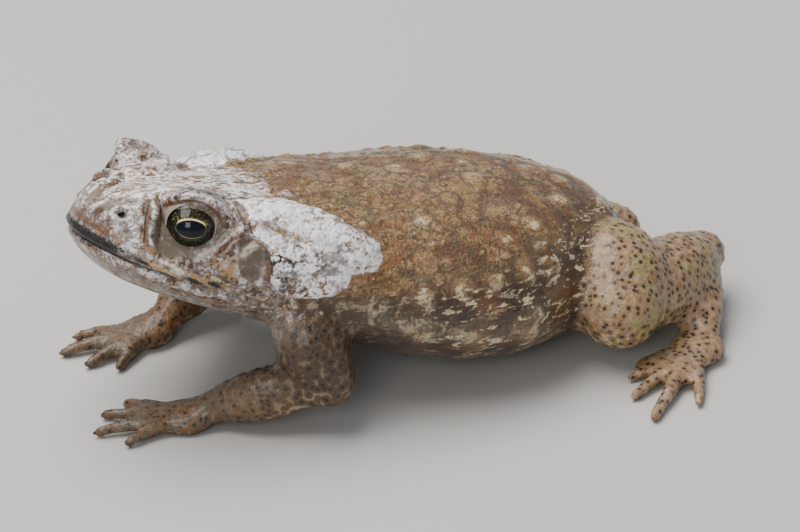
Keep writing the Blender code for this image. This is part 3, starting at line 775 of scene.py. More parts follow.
        # The white base is partly painted sheen of the sky on the wet gland.
        skin = graph.paint(
            self.white_and_sheen,
            (self.lilac, graph.step(clouds, 0.47, 0.63) * 0.85),
            (self.ochre, graph.step(warm, 0.54, 0.64) * 0.6),
            (self.rust, graph.step(warm + low * 0.03, 0.61, 0.69) * 0.75),
            (self.umber, graph.step(mottled, 0.68, 0.80) * (0.35 + low * 0.5)),
            (self.rust, graph.step(graph.mask("pit"), 0.25, 0.9) * 0.5),
        )
        ragged = graph.mask("gland") + (fine - 0.5) + (middling - 0.5)
        return graph.mix(colour, skin, graph.step(ragged, 0.3, 0.7))

    def _crown(self, graph: SkinGraph, colour: Wire) -> Wire:
        """Silvery, partly the crown's pale skin and partly painted sheen of the sky on the wet top of the
        head, with ochre and brown streaks that run back from the snout.

        Args:
            graph: the skin's node tree.
            colour: the colour so far.

        Returns:
            The colour with the crown.
        """
        fine, middling = graph.fine, graph.middling
        streaks = graph.noise(graph.place((2.0, 0.9, 1.0)), 2.0, 4.0, 1.6)
        tan = graph.mix(self.ochre, self.lilac, graph.step(middling, 0.44, 0.56))
        # The white base is partly painted sheen of the sky on the wet top of the head.
        skin = graph.paint(
            self.white_and_sheen,
            (tan, 0.12 + graph.step(fine + (streaks - 0.5) * 1.2, 0.40, 0.58) * 0.68),
            (self.ochre, graph.step(streaks, 0.47, 0.57) * 0.7),
            (self.umber, graph.step(streaks + (fine - 0.5) * 0.5, 0.56, 0.66) * 0.75),
        )
        ragged = graph.mask("crown") + (middling - 0.5) * 1.2 + (streaks - 0.5) * 1.2
        return graph.mix(colour, skin, graph.step(ragged, 0.38, 0.66))


@dataclass(frozen=True)
class EyeFinish:
    """A glossy eye: blue-black oval pupil in a thin gold ring, black iris with gold flecks, dark rim."""

    black: Colour = (0.006, 0.007, 0.005, 1.0)
    pupil: Colour = (0.0008, 0.0025, 0.006, 1.0)
    gold: Colour = (0.50, 0.40, 0.075, 1.0)
    bright: Colour = (0.80, 0.70, 0.36, 1.0)
    pale: Colour = (0.42, 0.38, 0.27, 1.0)
    pupil_half: tuple[float, float] = (3.15, 1.9)
    iris_half: tuple[float, float] = (5.4, 5.65)

    def make(self) -> bpy.types.Material:
        """Build the material.

        Returns:
            The eye's material, which reads each eye's own measures across its face.
        """
        constants = {
            "Coat Weight": 1.0,
            "Coat Roughness": 0.02,
            "Coat IOR": 1.36,
            "Roughness": 0.4,
            "Specular IOR Level": 0.05,
        }
        graph = Graph("toad_eye", constants)
        across, upward = graph.mask("across"), graph.mask("upward")
        span = self._oval(across, upward, self.iris_half)
        oval = self._oval(across, upward, self.pupil_half)
        high = graph.step(upward, 0.4, 1.8)
        near = graph.step(oval, 1.6, 1.05) * (high * 0.075)
        flecks = graph.noise(graph.place(), 0.55, 3.0, 2.2) + near
        glint = graph.noise(graph.place(), 0.25, 2.0)
        below = graph.step(upward, -1.2, -1.8) * 0.35
        rim = graph.step(oval - high * 0.13, 1.12, 1.07) * (0.1 + high * 0.9 + below)
        colour = graph.paint(
            self.black,
            (self.gold, graph.step(flecks, 0.64, 0.69) * (0.3 + high * 0.7)),
            (self.gold, graph.step(glint, 0.60, 0.70) * graph.step(span, 0.9, 0.7) * 0.4),
            (self.bright, rim),
            (self.pupil, graph.step(oval, 1.07, 1.02)),
            (self.black, graph.step(span, 0.82, 0.92)),
            (self.pale, graph.step(span, 1.0, 1.04)),
        )
        graph.drive("Base Color", colour)
        return graph.material

    @staticmethod
    def _oval(across: Wire, upward: Wire, half: tuple[float, float]) -> Wire:
        """How far out a point is, where 1 is the edge of an oval with the half sizes."""
        return ((across / half[0]) ** 2.0 + (upward / half[1]) ** 2.0) ** 0.5


@dataclass(frozen=True)
class LidFinish:
    """The smooth margins of the lids: olive-grey below, browner above, with a pale edge."""

    lower: Colour = (0.165, 0.13, 0.095, 1.0)
    upper: Colour = (0.20, 0.155, 0.11, 1.0)
    edge: Colour = (0.42, 0.38, 0.34, 1.0)

    def make(self) -> bpy.types.Material:
        """Build the material.

        Returns:
            The lids' material, which reads how far each point is on the upper lid and near its edge.
        """
        constants = {"Subsurface Weight": 0.15, "Subsurface Scale": 0.001, "Coat Roughness": 0.08}
        graph = Graph("toad_lids", constants)
        fine = graph.noise(graph.place(), 1.1, 4.0, 0.5)
        colour = graph.paint(
            self.lower,
            (self.upper, graph.mask("upper")),
            (self.edge, graph.step(fine, 0.44, 0.68) * 0.45),
            (self.edge, graph.mask("margin") * 0.7),
        )
        graph.drive("Base Color", colour)
        graph.drive("Roughness", 0.24 + fine * 0.2)
        graph.drive("Coat Weight", 0.5 + fine * 0.4)
        graph.bump(fine, 0.06)
        return graph.material


@dataclass(frozen=True)
class Ridge:
    """One bony ridge of the head, mirrored: its run in the level millimetres, its size, and its dark rim."""

    run: tuple[Spot, ...]
    width: float
    height: float
    rim: float


RIDGES = (
    Ridge(
        run=((1.6, 1.6, 6.4), (3.4, 3.0, 8.4), (6.1, 4.0, 9.9), (9.6, 5.4, 11.0), (12.6, 7.6, 11.4)),
        width=1.1, height=0.95, rim=1.0,
    ),
    Ridge(
        run=((12.6, 7.6, 11.4), (12.0, 10.2, 10.8), (10.9, 13.4, 8.4), (9.8, 15.8, 5.0), (9.6, 16.8, 3.4)),
        width=1.0, height=1.0, rim=1.2,
    ),
    Ridge(
        run=((12.6, 7.6, 11.6), (16.0, 7.2, 13.4), (21.0, 7.2, 14.0), (25.6, 9.0, 13.6)),
        width=1.2, height=0.7, rim=0.5,
    ),
    Ridge(
        run=((25.0, 9.5, 14.0), (27.2, 13.4, 13.6), (28.6, 17.3, 11.6), (29.4, 19.6, 9.0), (28.6, 21.4, 7.6)),
        width=1.2, height=1.1, rim=0.0,
    ),
    Ridge(
        run=((28.8, 18.6, 10.2), (27.2, 20.4, 8.0), (25.0, 21.9, 5.6)),
        width=0.8, height=0.4, rim=0.0,
    ),
)


@dataclass
class Face:
    """The head's relief and markings, worked out point by point. Sizes in millimetres of the level head."""

    level: Points
    mouth: tuple[tuple[float, float], ...] = (
        (-5.0, 0.6), (0.0, 0.0), (6.0, -1.4), (14.0, -3.0), (22.0, -4.0), (29.0, -4.9), (35.0, -6.6)
    )
    nostril: Spot = (5.6, 8.4, 8.0)
    under_nostril: Lump = ((4.4, 9.0, 4.2), (2.6, 2.8, 2.2))
    snout_side: Lump = ((8.0, 13.0, 5.6), (4.5, 5.0, 3.4))
    crown_hollow: Lump = ((16.0, 0.0, 13.0), (14.0, 6.5, 8.0))
    ridge_foot: Spot = (9.6, 17.2, 2.6)
    ridge_bend: Spot = (10.0, 15.6, 5.2)
    eye_dome: Lump = ((20.5, 14.6, 11.5), (8.2, 8.0, 7.4))
    near_dome: Lump = ((20.5, -14.0, 16.4), (9.0, 8.5, 6.0))
    far_brow: Lump = ((14.0, 16.8, 12.5), (5.0, 4.5, 5.5))
    cheek_fold: tuple[Spot, ...] = (
        (30.6, 21.4, 6.4), (29.0, 21.6, 7.4), (26.6, 22.0, 6.6), (22.9, 23.0, 3.9)
    )
    drum_arc: tuple[Spot, ...] = (
        (26.4, 22.6, 5.8), (28.4, 21.8, 7.4), (31.0, 22.4, 7.4),
        (33.2, 24.6, 5.6), (34.0, 26.6, 2.6), (33.6, 27.8, 0.0),
    )
    drum: Spot = (30.2, 25.6, 3.0)
    drum_half: tuple[float, float] = (2.9, 3.5)
    under_drum: Lump = ((25.4, 25.4, 1.0), (3.4, 4.0, 3.4))
    behind_drum: Lump = ((38.0, 26.5, 2.8), (5.6, 6.0, 5.0))
    fold: tuple[Spot, ...] = ((35.5, 21.5, 10.5), (38.7, 24.0, 9.3), (44.5, 27.0, 8.0), (51.0, 30.3, 6.5))
    lobe: Spot = (43.5, 29.0, 2.0)
    lobe_half: tuple[float, float] = (10.0, 6.4)

    def __post_init__(self) -> None:
        """Mirror the points, and start with no relief and no marks."""
        count = len(self.level)
        self.sides = self.level.copy()
        self.sides[:, 1] = np.abs(self.sides[:, 1])
        self.heights = np.zeros(count)
        self.calm = np.zeros(count)
        self.lobed = np.zeros(count)
        self.marks = {name: np.zeros(count) for name in (*TONES, "smooth", "rough")}
        self.before_neck = fade(self.level[:, 0], 46.0, 38.0)

    def mark(self, name: str, mask: Mask) -> None:
        """Add to one of the marks, wherever the mask is the stronger."""
        self.marks[name] = np.maximum(self.marks[name], mask)

    def shape(self) -> None:
        """Work out every feature in turn."""
        self._lips()
        self._snout()
        self._ridges()
        self._eyes()
        self._ears()
        self._gland_lobes()

    def _over_mouth(self) -> Points:
        """How far each point is above the mouth's line."""
        return self.sides[:, 2] - np.interp(self.sides[:, 0], *np.array(self.mouth).T)

    def _lips(self) -> None:
        """The closed mouth's groove, both lips with a pale band on the upper lip that is partly painted
        highlight, and their streaks.
        """
        x, y, _ = self.sides.T
        line = line_distance(self.level[:, [0, 2]], self.mouth)
        above = self._over_mouth()
        reach = fade(x, 36.5, 34.0) * (y < 32.0)
        self.heights -= 0.8 * bell(line, 0.42) * reach
        self.heights += (0.45 * bell(above - 1.5, 0.9) * (above > 0) + 0.25 * bell(above + 1.2, 0.8)) * reach
        self.heights -= 0.3 * bell(above - 3.6, 0.7) * fade(x, 4.0, 9.0) * fade(x, 26.0, 20.0) * (y > 9)
        self.mark("dark", (0.5 + 0.45 * fade(x, 14.0, 6.0)) * bell(line, 0.34) * reach)
        # A pale band along the top of the upper lip's bulge: partly cream skin, partly a painted highlight.
        self.mark("pale", 0.42 * bell(above - 1.3, 0.7) * reach * fade(x, 2.0, 8.0))
        self.mark("pale", 0.40 * bell(above + 1.4, 0.8) * reach)
        outer = (y > 8.0).astype(float)
        # Each streak's way back and height over the mouth, its length, tone and strength.
        for back, height, length, tone, strength in (
            (12.5, 1.5, 5.0, "tawny", 1.1),
            (19.5, 2.2, 4.0, "tawny", 1.0),
            (13.5, 0.6, 3.0, "dark", 0.9),
            (18.5, 1.2, 2.4, "dark", 1.1),
            (22.6, 1.6, 2.0, "dark", 1.0),
            (8.0, 1.8, 2.0, "dark", 1.0),
            (26.0, 1.4, 4.6, "tawny", 0.8),
            (23.0, 2.8, 3.6, "pale", 0.7),
            (14.0, 3.0, 4.0, "pale", 0.6),
        ):
            spot = ((x - back) / length) ** 2 + ((above - height + (x - back) * 0.16) / 0.6) ** 2
            self.mark(tone, strength * np.exp(-spot) * outer)

    def _snout(self) -> None:
        """Nostrils, the hollow sides of the snout, and the dark patch on its lip."""
        x = self.sides[:, 0]
        hole = np.linalg.norm((self.sides - self.nostril) * (1.0, 1.0, 1.5), axis=1)
        self.heights -= 1.5 * bell(hole, 1.0)
        self.heights += 0.35 * bell(hole - 2.3, 0.8)
        self.heights -= 0.5 * blob(self.sides, *self.snout_side)
        self.heights -= 0.7 * blob(self.sides, *self.crown_hollow)
        self.mark("dark", 1.2 * bell(hole, 0.95))
        self.mark("pearly", 0.5 * bell(hole - 2.2, 1.2))
        above = self._over_mouth()
        self.mark("dark", 1.05 * (fade(x, 7.5, 2.5) * bell(above - 1.5, 1.7)))
        self.mark("rusty", 0.8 * fade(x, 6.0, 3.0) * bell(above - 4.4, 1.3))
        self.mark("olive", 0.5 * fade(above, -0.8, -3.5))
        self.mark("pale", 0.6 * blob(self.sides, *self.under_nostril))

    def _ridges(self) -> None:
        """The bony ridges, pale along the top, partly their own skin and partly painted sheen, and
        ochre-brown at their feet.
        """
        rise = np.zeros(len(self.sides))
        for ridge in RIDGES:
            distance, way = follow(self.sides, ridge.run)
            inner = fade(way, 0.0, 0.12) * fade(way, 1.0, 0.9)
            rise = np.maximum(rise, ridge.height * bell(distance, ridge.width))
            # Paler along each ridge's top: partly the ridge's own pale skin, partly painted sheen.
            self.mark("pearly", 0.6 * bell(distance, ridge.width * 0.7))
            self.mark("rusty", ridge.rim * 0.95 * inner * bell(distance - ridge.width * 1.35, 0.75))
            self.mark("dark", ridge.rim * 0.56 * inner * bell(distance - ridge.width * 1.8, 0.45))
            self.mark("smooth", bell(distance, ridge.width * 1.3))
            self.heights -= 0.25 * ridge.rim * inner * bell(distance - ridge.width * 1.9, 0.5)
        self.heights += rise
        self.mark("tawny", bell(np.linalg.norm(self.sides - self.ridge_foot, axis=1), 1.2))
        self.mark("dark", 0.8 * bell(np.linalg.norm(self.sides - self.ridge_bend, axis=1), 0.8))

    def _eyes(self) -> None:
        """The lids of both eyes, the folds behind them, and the pressed domes over them."""
        for side in Side:
            self._lids(side)
        line = line_distance(self.sides, self.cheek_fold)
        self.mark("rusty", bell(line, 1.0))
        self.mark("dark", 0.62 * bell(line, 0.42))
        self.heights -= 0.4 * bell(line, 0.6)
        self.heights -= 1.1 * blob(self.level, *self.near_dome)
        self.heights -= 1.3 * blob(self.level, *self.far_brow)

    def _lids(self, side: Side) -> None:
        """The smooth ring round one eye, and the bumpy band of the upper lid over it, with painted shadow
        under the band, painted shade in the crease above it and in the socket's upper front corner, and a
        paler dome top that is partly painted sheen.

        Args:
            side: which eye.
        """
        middle, back, up, out = HEAD.eye_axes(side)
        local = self.level - middle
        across, upward, outward = local @ back, local @ up, local @ out
        ring = np.sqrt((across / HEAD.opening[0]) ** 2 + (upward / HEAD.opening[1]) ** 2)
        # About how many millimetres outside the eye's opening each point is.
        past = (ring - 1.0) * HEAD.opening_mean
        own = (self.level[:, 1] * side.value > 0).astype(float)
        front = fade(outward, -1.5, 0.5) * own
        over = fade(upward, -0.6, 1.8) * front
        under = fade(upward, 1.8, -0.6) * front
        reach = 2.0 + 1.5 * fade(across, -1.0, -5.0) + 0.3 * fade(across, 2.0, 5.0)
        socket = fade(past, reach + 0.5, reach - 0.3) * under
        self.heights += 0.3 * bell(past - reach - 0.7, 0.7) * under
        self.heights += over * (0.9 * bell(past - 2.4, 1.2) - 0.3 * bell(past - 4.8, 0.7))
        self.mark("smooth", np.maximum(socket, over * bell(past - 0.9, 0.6)))
        self.mark("rough", over * fade(past, 1.6, 2.2) * fade(past, 4.6, 3.8))
        self.mark("olive", 0.9 * socket)
        self.mark("olive", 0.9 * over * fade(past, 0.9, 0.5))
        # Painted shadow under the overhang of the upper lid's band, in a rusty tone.
        self.mark("rusty", over * bell(past - 1.35, 0.5))
        self.mark("pearly", 0.55 * over * bell(past - 3.0, 0.9))
        # Painted shade in the crease along the band's upper edge.
        self.mark("dark", 0.55 * over * bell(past - 4.7, 0.3))
        dome = (blob(self.sides, *self.eye_dome) > 0) * own
        self.mark("rough", dome * fade(self.sides[:, 2], 12.0, 13.5) * (ring > 1.5))
        # Paler towards the dome's top: partly its pale skin, partly painted sheen.
        self.mark("pearly", 0.38 * dome * fade(self.sides[:, 2], 12.5, 14.0))
        # Painted shade in the socket's upper front corner, under the brow.
        corner = 0.7 * under * bell(across + 3.0, 1.5) * bell(upward - 2.2, 1.6)
        self.mark("dark", corner * fade(past, 0.6, 1.2))

    def _ears(self) -> None:
        """The eardrum in its ring, and the rusty ridge that curls over it."""
        x, y, z = self.sides.T
        drum = np.sqrt(
            ((x - self.drum[0]) / self.drum_half[0]) ** 2 + ((z - self.drum[2]) / self.drum_half[1]) ** 2
        )
        outer = fade(y, 19.0, 21.0)
        self.calm = fade(drum, 1.5, 1.1) * outer
        self.heights += (0.2 * bell(drum - 1.1, 0.2) - 0.35 * np.clip(1.0 - drum * drum, 0, 1)) * outer
        arc = line_distance(self.sides, self.drum_arc)
        self.heights += 0.75 * bell(arc, 1.1)
        self.mark("rusty", 0.95 * bell(arc, 1.3))
        self.mark("dark", 0.32 * bell(arc - 0.6, 1.1) * outer)
        self.mark("tawny", 0.8 * blob(self.sides, *self.under_drum))
        self.mark("olive", 0.9 * fade(drum, 1.45, 0.75) * outer)
        self.mark("smooth", fade(drum, 1.1, 0.9) * outer)

    def _gland_lobes(self) -> None:
        """The fold along each gland, and the lower lobe that bulges under it behind the eardrum."""
        x, y, z = self.sides.T
        share = np.sqrt(
            ((x - self.lobe[0]) / self.lobe_half[0]) ** 2 + ((z - self.lobe[2]) / self.lobe_half[1]) ** 2
        )
        outer = fade(y, 18.0, 21.0)
        self.lobed = fade(share, 1.05, 0.9) * outer
        self.heights += 1.5 * np.clip(1.0 - share * share, 0.0, 1.0) ** 0.8 * outer
        fold = line_distance(self.sides, self.fold)
        self.heights -= 1.1 * bell(fold, 0.9)
        self.mark("tawny", 0.66 * bell(fold, 1.3) * fade(x, 52.0, 42.0))
        self.mark("dark", 0.42 * bell(fold, 0.5) * fade(x, 54.0, 44.0))
        self.mark("dark", 0.52 * blob(self.sides, *self.behind_drum))


@dataclass
class ToadSkin:
    """One skin over all the flesh, with its crests, warts, glands, lips and folds. Sizes in millimetres."""

    voxel: float = 1.17
    fill: float = 0.32
    stand: float = 0.1
    body_rounds: int = 7
    digit_rounds: int = 2
    head_rounds: int = 4
    sole: float = 5.5
    head_back: float = 52.0
    head_low: float = -9.0
    face_back: float = 34.0
    face_low: float = -2.8
    crown_half: float = 6.5
    opening_below: float = 5.5
    rim: float = 1.12
    socket: float = 6.55
    socket_edge: tuple[float, float] = (3.2, 0.9)
    blur_rounds: int = 4
    drum_rounds: int = 12
    bare_rounds: int = 30
    gland_front: Lump = ((36.0, 18.5, 11.0), (8.0, 6.5, 4.5))
    pits: Scatter = Scatter(spacing=1.6, least=0.4, largest=0.75)
    granules: Scatter = Scatter(spacing=0.95, least=0.4, largest=0.62)
    lumps: Scatter = Scatter(spacing=3.2, least=1.7, largest=2.9)
    warts: Scatter = Scatter(spacing=2.9, least=1.0, largest=1.9)
    beads: Scatter = Scatter(spacing=2.3, least=1.0, largest=1.3)
    seed: int = 11

    def build(self) -> bpy.types.Object:
        """Model the skin.

        Returns:
            The finished skin.
        """
        obj = self._fused()
        self._refine(obj)
        sculpt = Sculpt(obj)
        regions = self._regions(sculpt)
        sculpt.smooth(3, np.clip(regions["head"] + regions["lower_jaw"] + regions["parotoid"], 0, 1))
        sculpt.push(self.stand - self.fill)
        self._clear_eyes(sculpt)
        self._head(sculpt, regions)
        self._body(sculpt, regions)
        low, high = (np.array(corner) for corner in CAD_BOX)
        sculpt.points = np.clip(sculpt.points, low, high)
        sculpt.normals()
        obj.data.shade_smooth()
        obj.data.materials.append(SkinFinish().make())
        return obj

    def _fused(self) -> bpy.types.Object:
        """Swell the flesh nodes until they touch, and remesh them as one closed surface.

        Returns:
            The skin in the rough.
        """
        whole = bmesh.new()
        for node in flesh().values():
            part = bmesh.new()
            part.from_mesh(node.data)
            bmesh.ops.remove_doubles(part, verts=part.verts, dist=1e-6)
            part.normal_update()
            for vert in part.verts:
                vert.co += vert.normal * (self.fill * MM)
            copy = bpy.data.meshes.new("swollen")
            part.to_mesh(copy)
            part.free()
            whole.from_mesh(copy)
            bpy.data.meshes.remove(copy)
        obj = add_object("skin", whole)
        remesh = obj.modifiers.new("Remesh", "REMESH")
        remesh.mode = "VOXEL"
        remesh.voxel_size = self.voxel * MM
        bpy.context.view_layer.update()
        graph = bpy.context.evaluated_depsgraph_get()
        obj.data = bpy.data.meshes.new_from_object(obj.evaluated_get(graph))
        obj.modifiers.clear()
        return obj

    def _refine(self, obj: bpy.types.Object) -> None:
        """Keep the outer surface, relax it, and split the faces of the head, and again those of the face.

        Args:
            obj: the skin in the rough.
        """
        bm = bmesh.new()
        bm.from_mesh(obj.data)
        self._keep_largest(bm)
        for rounds in range(self.body_rounds):
            self._relax(bm, [vert for vert in bm.verts if self._still_moves(vert.co, rounds)], 0.5)
        zones = ((self.head_back, self.head_low, 0.0), (self.face_back, self.face_low, self.crown_half))
        for back, low, middle in zones:
            level = HEAD.level(np.array([vert.co for vert in bm.verts]))
            x, y, z = level[:, 0], np.abs(level[:, 1]), level[:, 2]
            inside = (x < back) & (y < 34.0) & (z > low) & ((y > middle) | (x < 12.0))
            bm.verts.index_update()
            edges = [edge for edge in bm.edges if inside[edge.verts[0].index] and inside[edge.verts[1].index]]
            bmesh.ops.subdivide_edges(bm, edges=edges, cuts=1, use_grid_fill=True)
            self._relax(bm, bm.verts[:], 0.35)
        bmesh.ops.triangulate(bm, faces=[face for face in bm.faces if len(face.verts) > 4])
        bm.to_mesh(obj.data)
        bm.free()

    @staticmethod
    def _relax(bm: bmesh.types.BMesh, verts: list[bmesh.types.BMVert], factor: float) -> None:
        """Draw some points a share of the way towards their neighbours."""
        axes = {f"use_axis_{axis}": True for axis in "xyz"}
        bmesh.ops.smooth_vert(bm, verts=verts, factor=factor, **axes)

    def _still_moves(self, spot: Vector, rounds: int) -> bool:
        """Whether a point is relaxed once more: hands and feet, and the head, get fewer rounds than the body.

        Args:
            spot: the point, in metres.
            rounds: how many rounds have been done.

        Returns:
            True while the point still moves.
        """
        if rounds < self.digit_rounds:
            return True
        # The belly is low too, but has no digits.
        on_belly = -0.03 < spot.x < 0.06 and abs(spot.y + 0.003) < 0.03
        if spot.z < self.sole * MM and not on_belly:
            return False
        on_head = spot.x < -0.035 and spot.z > 0.03
        return not on_head or rounds < self.head_rounds

    @staticmethod
    def _keep_largest(bm: bmesh.types.BMesh) -> None:
        """Delete every separate surface but the one with the most points.

        Args:
            bm: the remeshed solids.
        """
        left = set(bm.verts)
        groups = []
        while left:
            stack = [left.pop()]
            group = set(stack)
            while stack:
                for edge in stack.pop().link_edges:
                    for vert in edge.verts:
                        if vert in left:
                            left.remove(vert)
                            group.add(vert)
                            stack.append(vert)
            groups.append(group)
        groups.sort(key=len)
        for group in groups[:-1]:
            bmesh.ops.delete(bm, geom=list(group), context="VERTS")

    def _regions(self, sculpt: Sculpt) -> dict[str, Mask]:
        """How far each point belongs to the head, limbs and glands, by the nearest node.

        Args:
            sculpt: the skin.

        Returns:
            A softened mask for each kind of node.
        """
        corners, faces, owners = [], [], []
        for name, node in flesh().items():
            kind = name.removesuffix("_left").removesuffix("_right")
            start = len(corners)
            corners += [vert.co.copy() for vert in node.data.vertices]
            for polygon in node.data.polygons:
                faces.append([start + i for i in polygon.vertices])
                owners.append(KINDS.index(LIMB_KINDS.get(kind, kind)))
        tree = BVHTree.FromPolygons(corners, faces)
        nearest = np.array([owners[tree.find_nearest(Vector(point))[2]] for point in sculpt.points])
        return {
            name: sculpt.soften((nearest == number).astype(float), self.blur_rounds)
            for number, name in enumerate(KINDS)
        }

    def _clear_eyes(self, sculpt: Sculpt) -> None:
        """Draw the rim of each socket back to the eye's opening, and settle it on the eyeball.

        Args:
            sculpt: the skin.
        """
        level = HEAD.level(sculpt.points)
        for side in Side:
            middle, back, up, out = HEAD.eye_axes(side)
            local = level - middle
            across, upward, outward = local @ back, local @ up, local @ out
            half = np.where(upward > 0, HEAD.opening[1], self.opening_below)
            ring = np.sqrt((across / HEAD.opening[0]) ** 2 + (upward / half) ** 2)
            near = (outward > 0.5) & (np.linalg.norm(local, axis=1) < 12.0)
            # Points inside the rim are carried out to it, and those round it settle on the eyeball.
            share = np.where(near & (ring < self.rim), self.rim / np.maximum(ring, 0.3), 1.0)[:, None]
            local = (across[:, None] * back + upward[:, None] * up) * share + outward[:, None] * out
            reach = np.linalg.norm(local, axis=1)
            past = (np.maximum(ring, self.rim) - 1.0) * HEAD.opening_mean
            settled = reach + (self.socket - reach) * fade(past, *self.socket_edge) * near * (outward > 1.5)
            level = middle + local * (settled / reach)[:, None]
        sculpt.points = (level @ HEAD.turn.T + HEAD.tip) * MM

    def _head(self, sculpt: Sculpt, regions: dict[str, Mask]) -> None:
        """Lips, nostrils, ridges, lids, eardrums and glands, and their masks.

        Args:
            sculpt: the skin.
            regions: the mask of each kind of node.
        """
        face = Face(HEAD.level(sculpt.points))
        face.shape()
        sculpt.smooth(self.drum_rounds, face.calm)
        x, y = face.sides[:, 0], face.sides[:, 1]
        smooth = face.marks["smooth"]
        skull = np.clip((regions["head"] + regions["lower_jaw"] + regions["tympanum"]) * 1.2, 0, 1)
        near_head = np.clip(skull + regions["parotoid"] + face.lobed + face.before_neck, 0, 1)
        rng = random.Random(self.seed)
        gland = np.clip(np.maximum(regions["parotoid"] * 1.6, face.lobed), 0, 1)
        gland = np.maximum(gland, 1.4 * blob(face.sides, *self.gland_front))
        gland = np.clip(gland, 0, 1) * fade(x, 31.0, 33.5)
        pits = sculpt.grow(gland * (gland > 0.6), self.pits, rng)
        cheek = (face.before_neck > 0.5) & (y > 17) & (smooth < 0.2) & (face.calm < 0.1)
        bumpy = np.clip(face.marks["rough"] + cheek * 0.35, 0, 1) * (smooth < 0.4)
        granules = sculpt.grow(bumpy, self.granules, rng)
        lumps = sculpt.grow(gland * (gland > 0.8), self.lumps, rng)
        sculpt.push((face.heights * near_head) - 0.2 * pits + 0.17 * granules + 0.4 * lumps)
        chin = fade(face.level[:, 0], 38.0, 34.0) * (face.level[:, 2] > -9.0)
        # The crown mask marks the top of the head, where its white is partly painted sheen.
        high = np.minimum(fade(y, 11.5, 7.5), fade(face.level[:, 2], 8.6, 10.4)) * fade(x, 58.0, 34.0)
        sculpt.store("face", np.maximum(skull, chin))
        sculpt.store("gland", gland)
        sculpt.store("lobe", face.lobed * fade(x, 52.0, 40.0))
        sculpt.store("pit", pits)
        sculpt.store("crown", high * np.clip(skull + regions["torso"], 0, 1))
        for name in (*TONES, "smooth"):
            sculpt.store(name, face.marks[name] * near_head)

    def _body(self, sculpt: Sculpt, regions: dict[str, Mask]) -> None:
        """Warts and masks of the trunk and limbs.

        Args:
            sculpt: the skin.
            regions: the mask of each kind of node.
        """
        rng = random.Random(self.seed + 1)
        normals = sculpt.normals()
        z = sculpt.points[:, 2] / MM
        limb = np.clip(regions["arm"] + regions["leg"] + regions["digit"], 0, 1)
        trunk = regions["torso"]
        bare = sculpt.points.copy()
        for _ in range(self.bare_rounds):
            bare = bare + (sculpt.average(bare) - bare) * 0.5
        # What stands over the strongly relaxed surface is a wart that the solids already have.
        lumps = ((sculpt.points - bare) * normals).sum(1) / MM
        built = np.clip(lumps / 0.5, 0, 1) * (trunk > 0.9)
        flank = fade(z, 36.0, 26.0)
        where = (trunk > 0.85) * fade(z, 3.0, 10.0) * (built < 0.1) * (0.35 + 0.4 * flank)
        warts = sculpt.grow(where, self.warts, rng)
        beads = sculpt.grow((limb > 0.8) * (regions["digit"] < 0.2) * 0.7, self.beads, rng)
        sculpt.push(0.5 * warts + 0.25 * beads + 0.3 * regions["digit"] * (z < 6.0))
        masks = {
            "wart": np.maximum(built, warts * 0.8),
            "limb": limb,
            "arm": (regions["arm"] + regions["digit"]) * (sculpt.points[:, 0] < 0.01),
            "under": fade(normals[:, 2], 0.2, -0.6),
            "flank": trunk * fade(z, 37.0, 27.0),
            # Front of the flank and upper arm by the shoulder, darkened partly as painted shade.
            "shoulder": fade(sculpt.points[:, 0] / MM, 2.0, -14.0) * fade(z, 36.0, 28.0) * fade(z, 8.0, 16.0),
        }
        for name, mask in masks.items():
            sculpt.store(name, mask)


def eye_piece(
    name: str, side: Side, bm: bmesh.types.BMesh, measures: dict[str, list[float]], finish: bpy.types.Material
) -> bpy.types.Object:
    """Carry a shape from an eye's own axes to the toad, and make it a piece.

    Args:
        name: the piece's name without its side.
        side: which eye.
        bm: the shape, in millimetres about the eye's middle, which is freed.
        measures: what the material reads, one number a point for each name.
        finish: the material.

    Returns:
        The finished piece.
    """
    middle, back, up, out = HEAD.eye_axes(side)
    turn = Matrix([[back[i], up[i], out[i]] for i in range(3)]).to_4x4()
    placed = HEAD.matrix() @ Matrix.Translation(Vector(middle)) @ turn
    bmesh.ops.transform(bm, matrix=placed, verts=bm.verts)
    bmesh.ops.recalc_face_normals(bm, faces=bm.faces)
    obj = add_object(f"{name}_{side.word}", bm)
    for key, values in measures.items():
        keep_values(obj.data, key, values)
    obj.data.shade_smooth()
    obj.data.materials.append(finish)
    return obj


@dataclass
class ToadEye:
    """One eyeball with its bulging cornea, turned along the gaze. Sizes in millimetres."""

    side: Side
    radius: float = 6.3
    cornea: float = 5.6
    shift: float = 1.6
    sharp: float = 24.0
    sink: float = 0.06

    def build(self, finish: bpy.types.Material) -> bpy.types.Object:
        """Model the eyeball.

        Args:
            finish: the eyes' material.

        Returns:
            The finished eye.
        """
        bm = bmesh.new()
        bmesh.ops.create_uvsphere(bm, u_segments=96, v_segments=72, radius=1.0)
        for vert in bm.verts:
            vert.co = vert.co.normalized() * (self.reach(vert.co.normalized().z) - self.sink)
        measures = {"across": [vert.co.x for vert in bm.verts], "upward": [vert.co.y for vert in bm.verts]}
        return eye_piece("eyeball", self.side, bm, measures, finish)

    def reach(self, slope: float) -> float:
        """How far the surface is from the eye's middle.

        Args:
            slope: the cosine of the angle from the gaze.

        Returns:
            The larger of the ball's reach and the cornea's, rounded where they meet.
        """
        inner = self.cornea**2 - self.shift**2 * (1.0 - slope**2)
        front = self.shift * slope + math.sqrt(max(inner, 0.0)) if slope > 0 else 0.0
        return (self.radius**self.sharp + front**self.sharp) ** (1.0 / self.sharp) - self.sink


